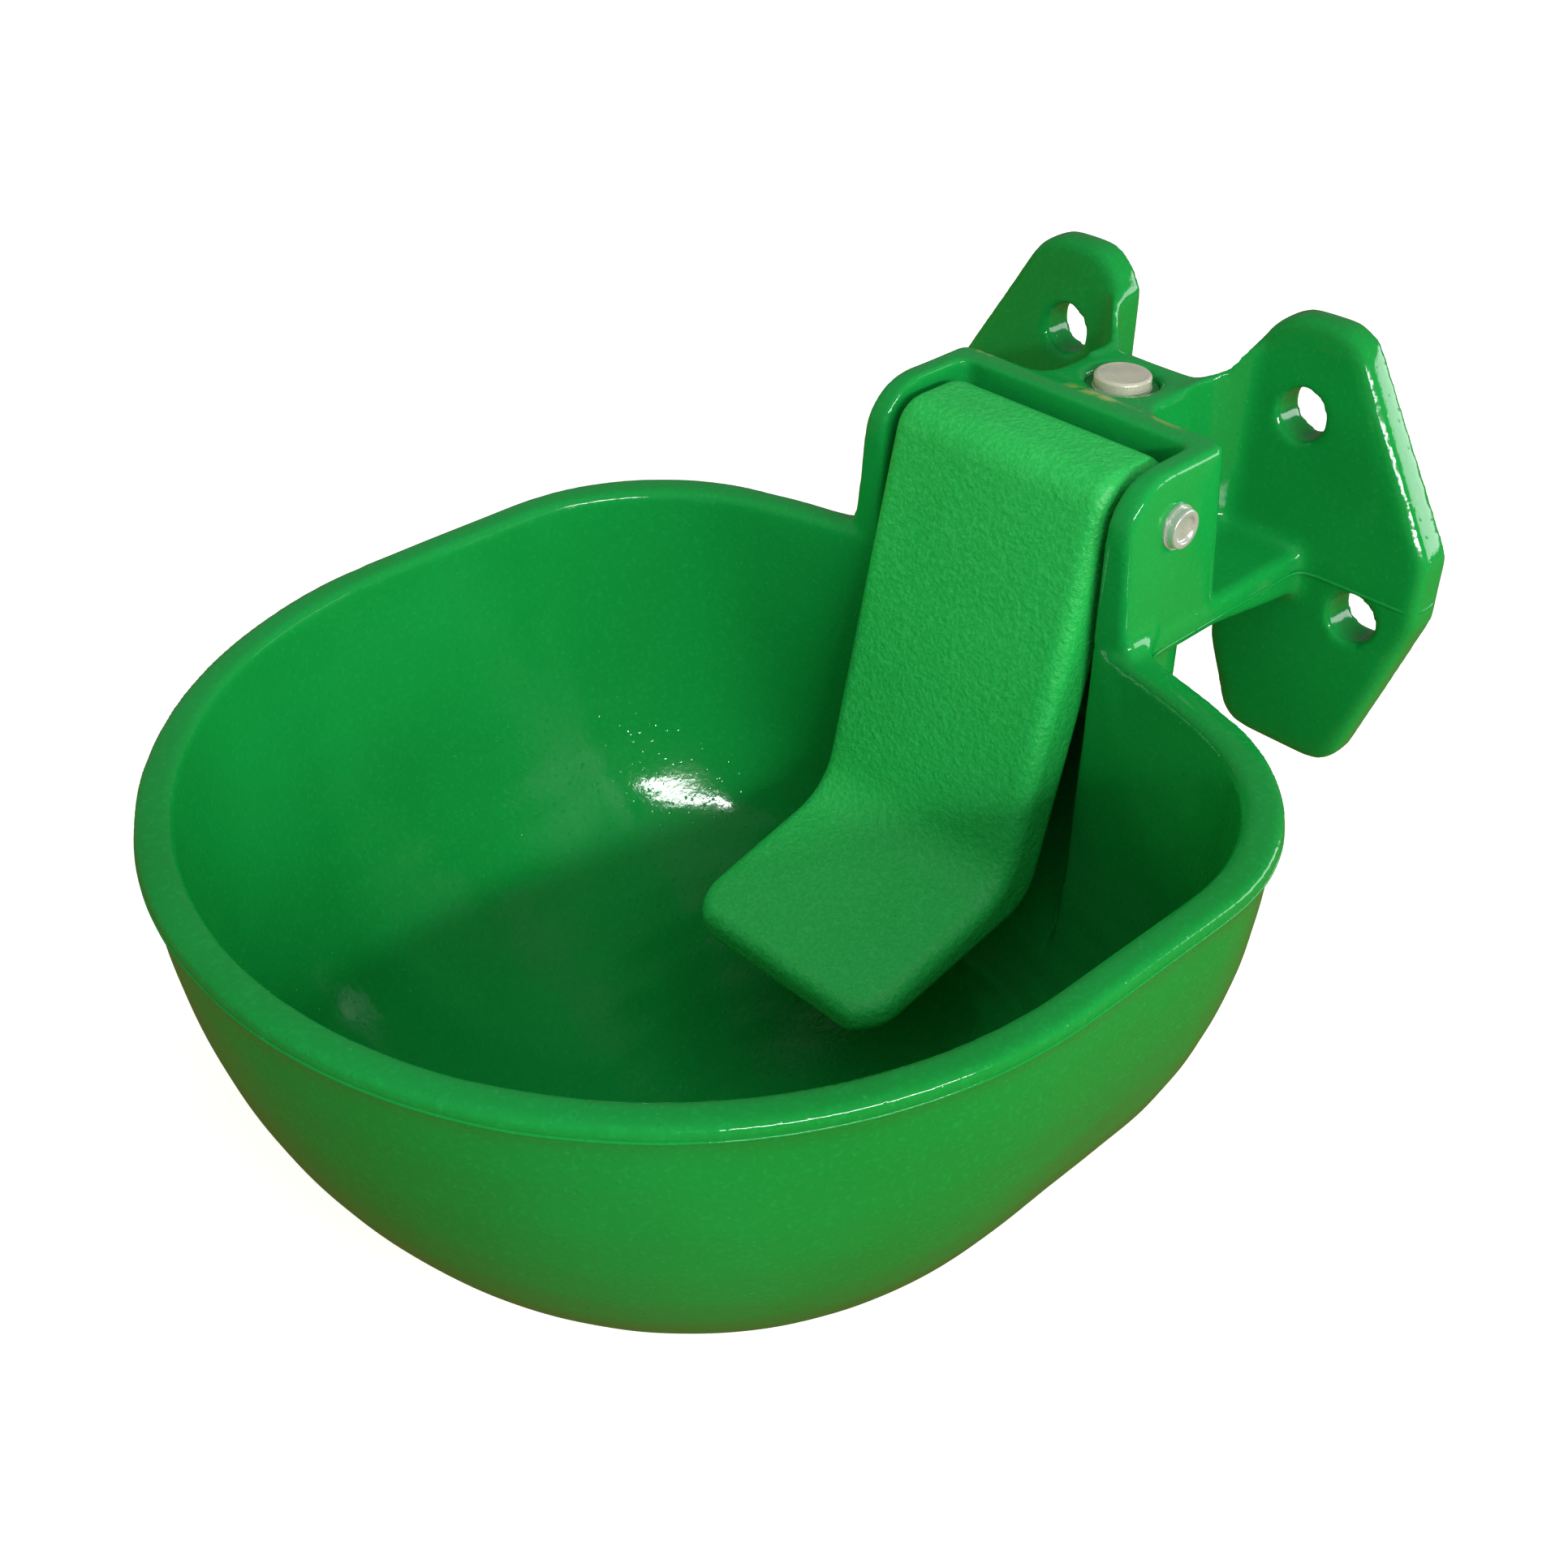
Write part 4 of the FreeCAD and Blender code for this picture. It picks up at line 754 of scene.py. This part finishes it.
def floor_material():
    """Matt white with a glow of its own to the camera, darker in reflections."""
    material = bpy.data.materials.new("pale_floor")
    material.use_nodes = True
    tree = material.node_tree
    pale = tree.nodes["Principled BSDF"]
    pale.inputs["Roughness"].default_value = FLOOR_ROUGHNESS
    pale.inputs["Specular IOR Level"].default_value = FLOOR_SPECULAR
    away = tree.nodes.new("ShaderNodeVectorMath")
    away.operation = "LENGTH"
    tree.links.new(tree.nodes.new("ShaderNodeTexCoord").outputs["Object"], away.inputs[0])
    glow = tree.nodes.new("ShaderNodeMapRange")
    for socket, value in (("From Min", FLOOR_GLOW_START), ("From Max", FLOOR_GLOW_END),
                          ("To Min", FLOOR_GLOW_NEAR), ("To Max", FLOOR_GLOW_FAR)):
        glow.inputs[socket].default_value = value
    tree.links.new(away.outputs["Value"], glow.inputs["Value"])
    tree.links.new(glow.outputs["Result"], pale.inputs["Emission Color"])
    to_camera = by_ray(tree, (1, 1, 1), (0, 0, 0), (0, 0, 0))
    tree.links.new(to_camera, pale.inputs["Emission Strength"])
    colour = by_ray(tree, FLOOR_WHITE, FLOOR_MIRRORED, FLOOR_BOUNCE)
    tree.links.new(colour, pale.inputs["Base Color"])
    return material


def pale_stage():
    """A plain pale floor: white to the camera but for the bowl's shadow, and duller to the
    bowl."""
    z = CAD_BOUNDS[0][2] - FLOOR_GAP
    edge = FLOOR_HALF_EDGE
    mesh = bpy.data.meshes.new("floor")
    mesh.from_pydata([(-edge, -edge, z), (edge, -edge, z), (edge, edge, z), (-edge, edge, z)],
                     [], [(0, 1, 2, 3)])
    mesh.materials.append(floor_material())
    added("floor", mesh)


def world():
    data = bpy.data.worlds.new("studio")
    bpy.context.scene.world = data
    data.use_nodes = True
    tree = data.node_tree
    level = by_ray(tree, (1, 1, 1), (WORLD_MIRRORED,) * 3, (WORLD_LIGHT,) * 3)
    tree.links.new(level, tree.nodes["Background"].inputs["Color"])


def aimed(name, data, azimuth, elevation):
    """A lamp that shines on the bowl from that side, with the way to it from the bowl."""
    away = direction(math.radians(azimuth), math.radians(elevation))
    obj = added(name, data)
    obj.rotation_euler = away.to_track_quat("Z", "Y").to_euler()
    return obj, away


def broad_light(name, azimuth, elevation, width_degrees, energy):
    """Light of one strength everywhere, from a wide patch of the sky, that the gloss doesn't
    show."""
    data = bpy.data.lights.new(name, "SUN")
    data.energy = energy
    data.angle = math.radians(width_degrees)
    obj, _ = aimed(name, data, azimuth, elevation)
    obj.visible_glossy = False


def soft_light(name, azimuth, elevation, distance, width, height, power, colour, mirrored):
    data = bpy.data.lights.new(name, "AREA")
    data.shape = "RECTANGLE"
    data.size = width
    data.size_y = height
    data.energy = power
    data.color = colour
    obj, away = aimed(name, data, azimuth, elevation)
    obj.location = BOWL_MIDDLE + away * distance
    obj.visible_glossy = mirrored


def lights():
    for values in BROAD_LIGHTS:
        broad_light(*values)
    for values in SOFT_LIGHTS:
        soft_light(*values)


paint_nodes()
casting()
paddle()
hinge_pin()
inlet_plug()
valve_spring()
parting_bead()
camera()
pale_stage()
world()
lights()
bpy.context.scene.view_settings.view_transform = "Standard"
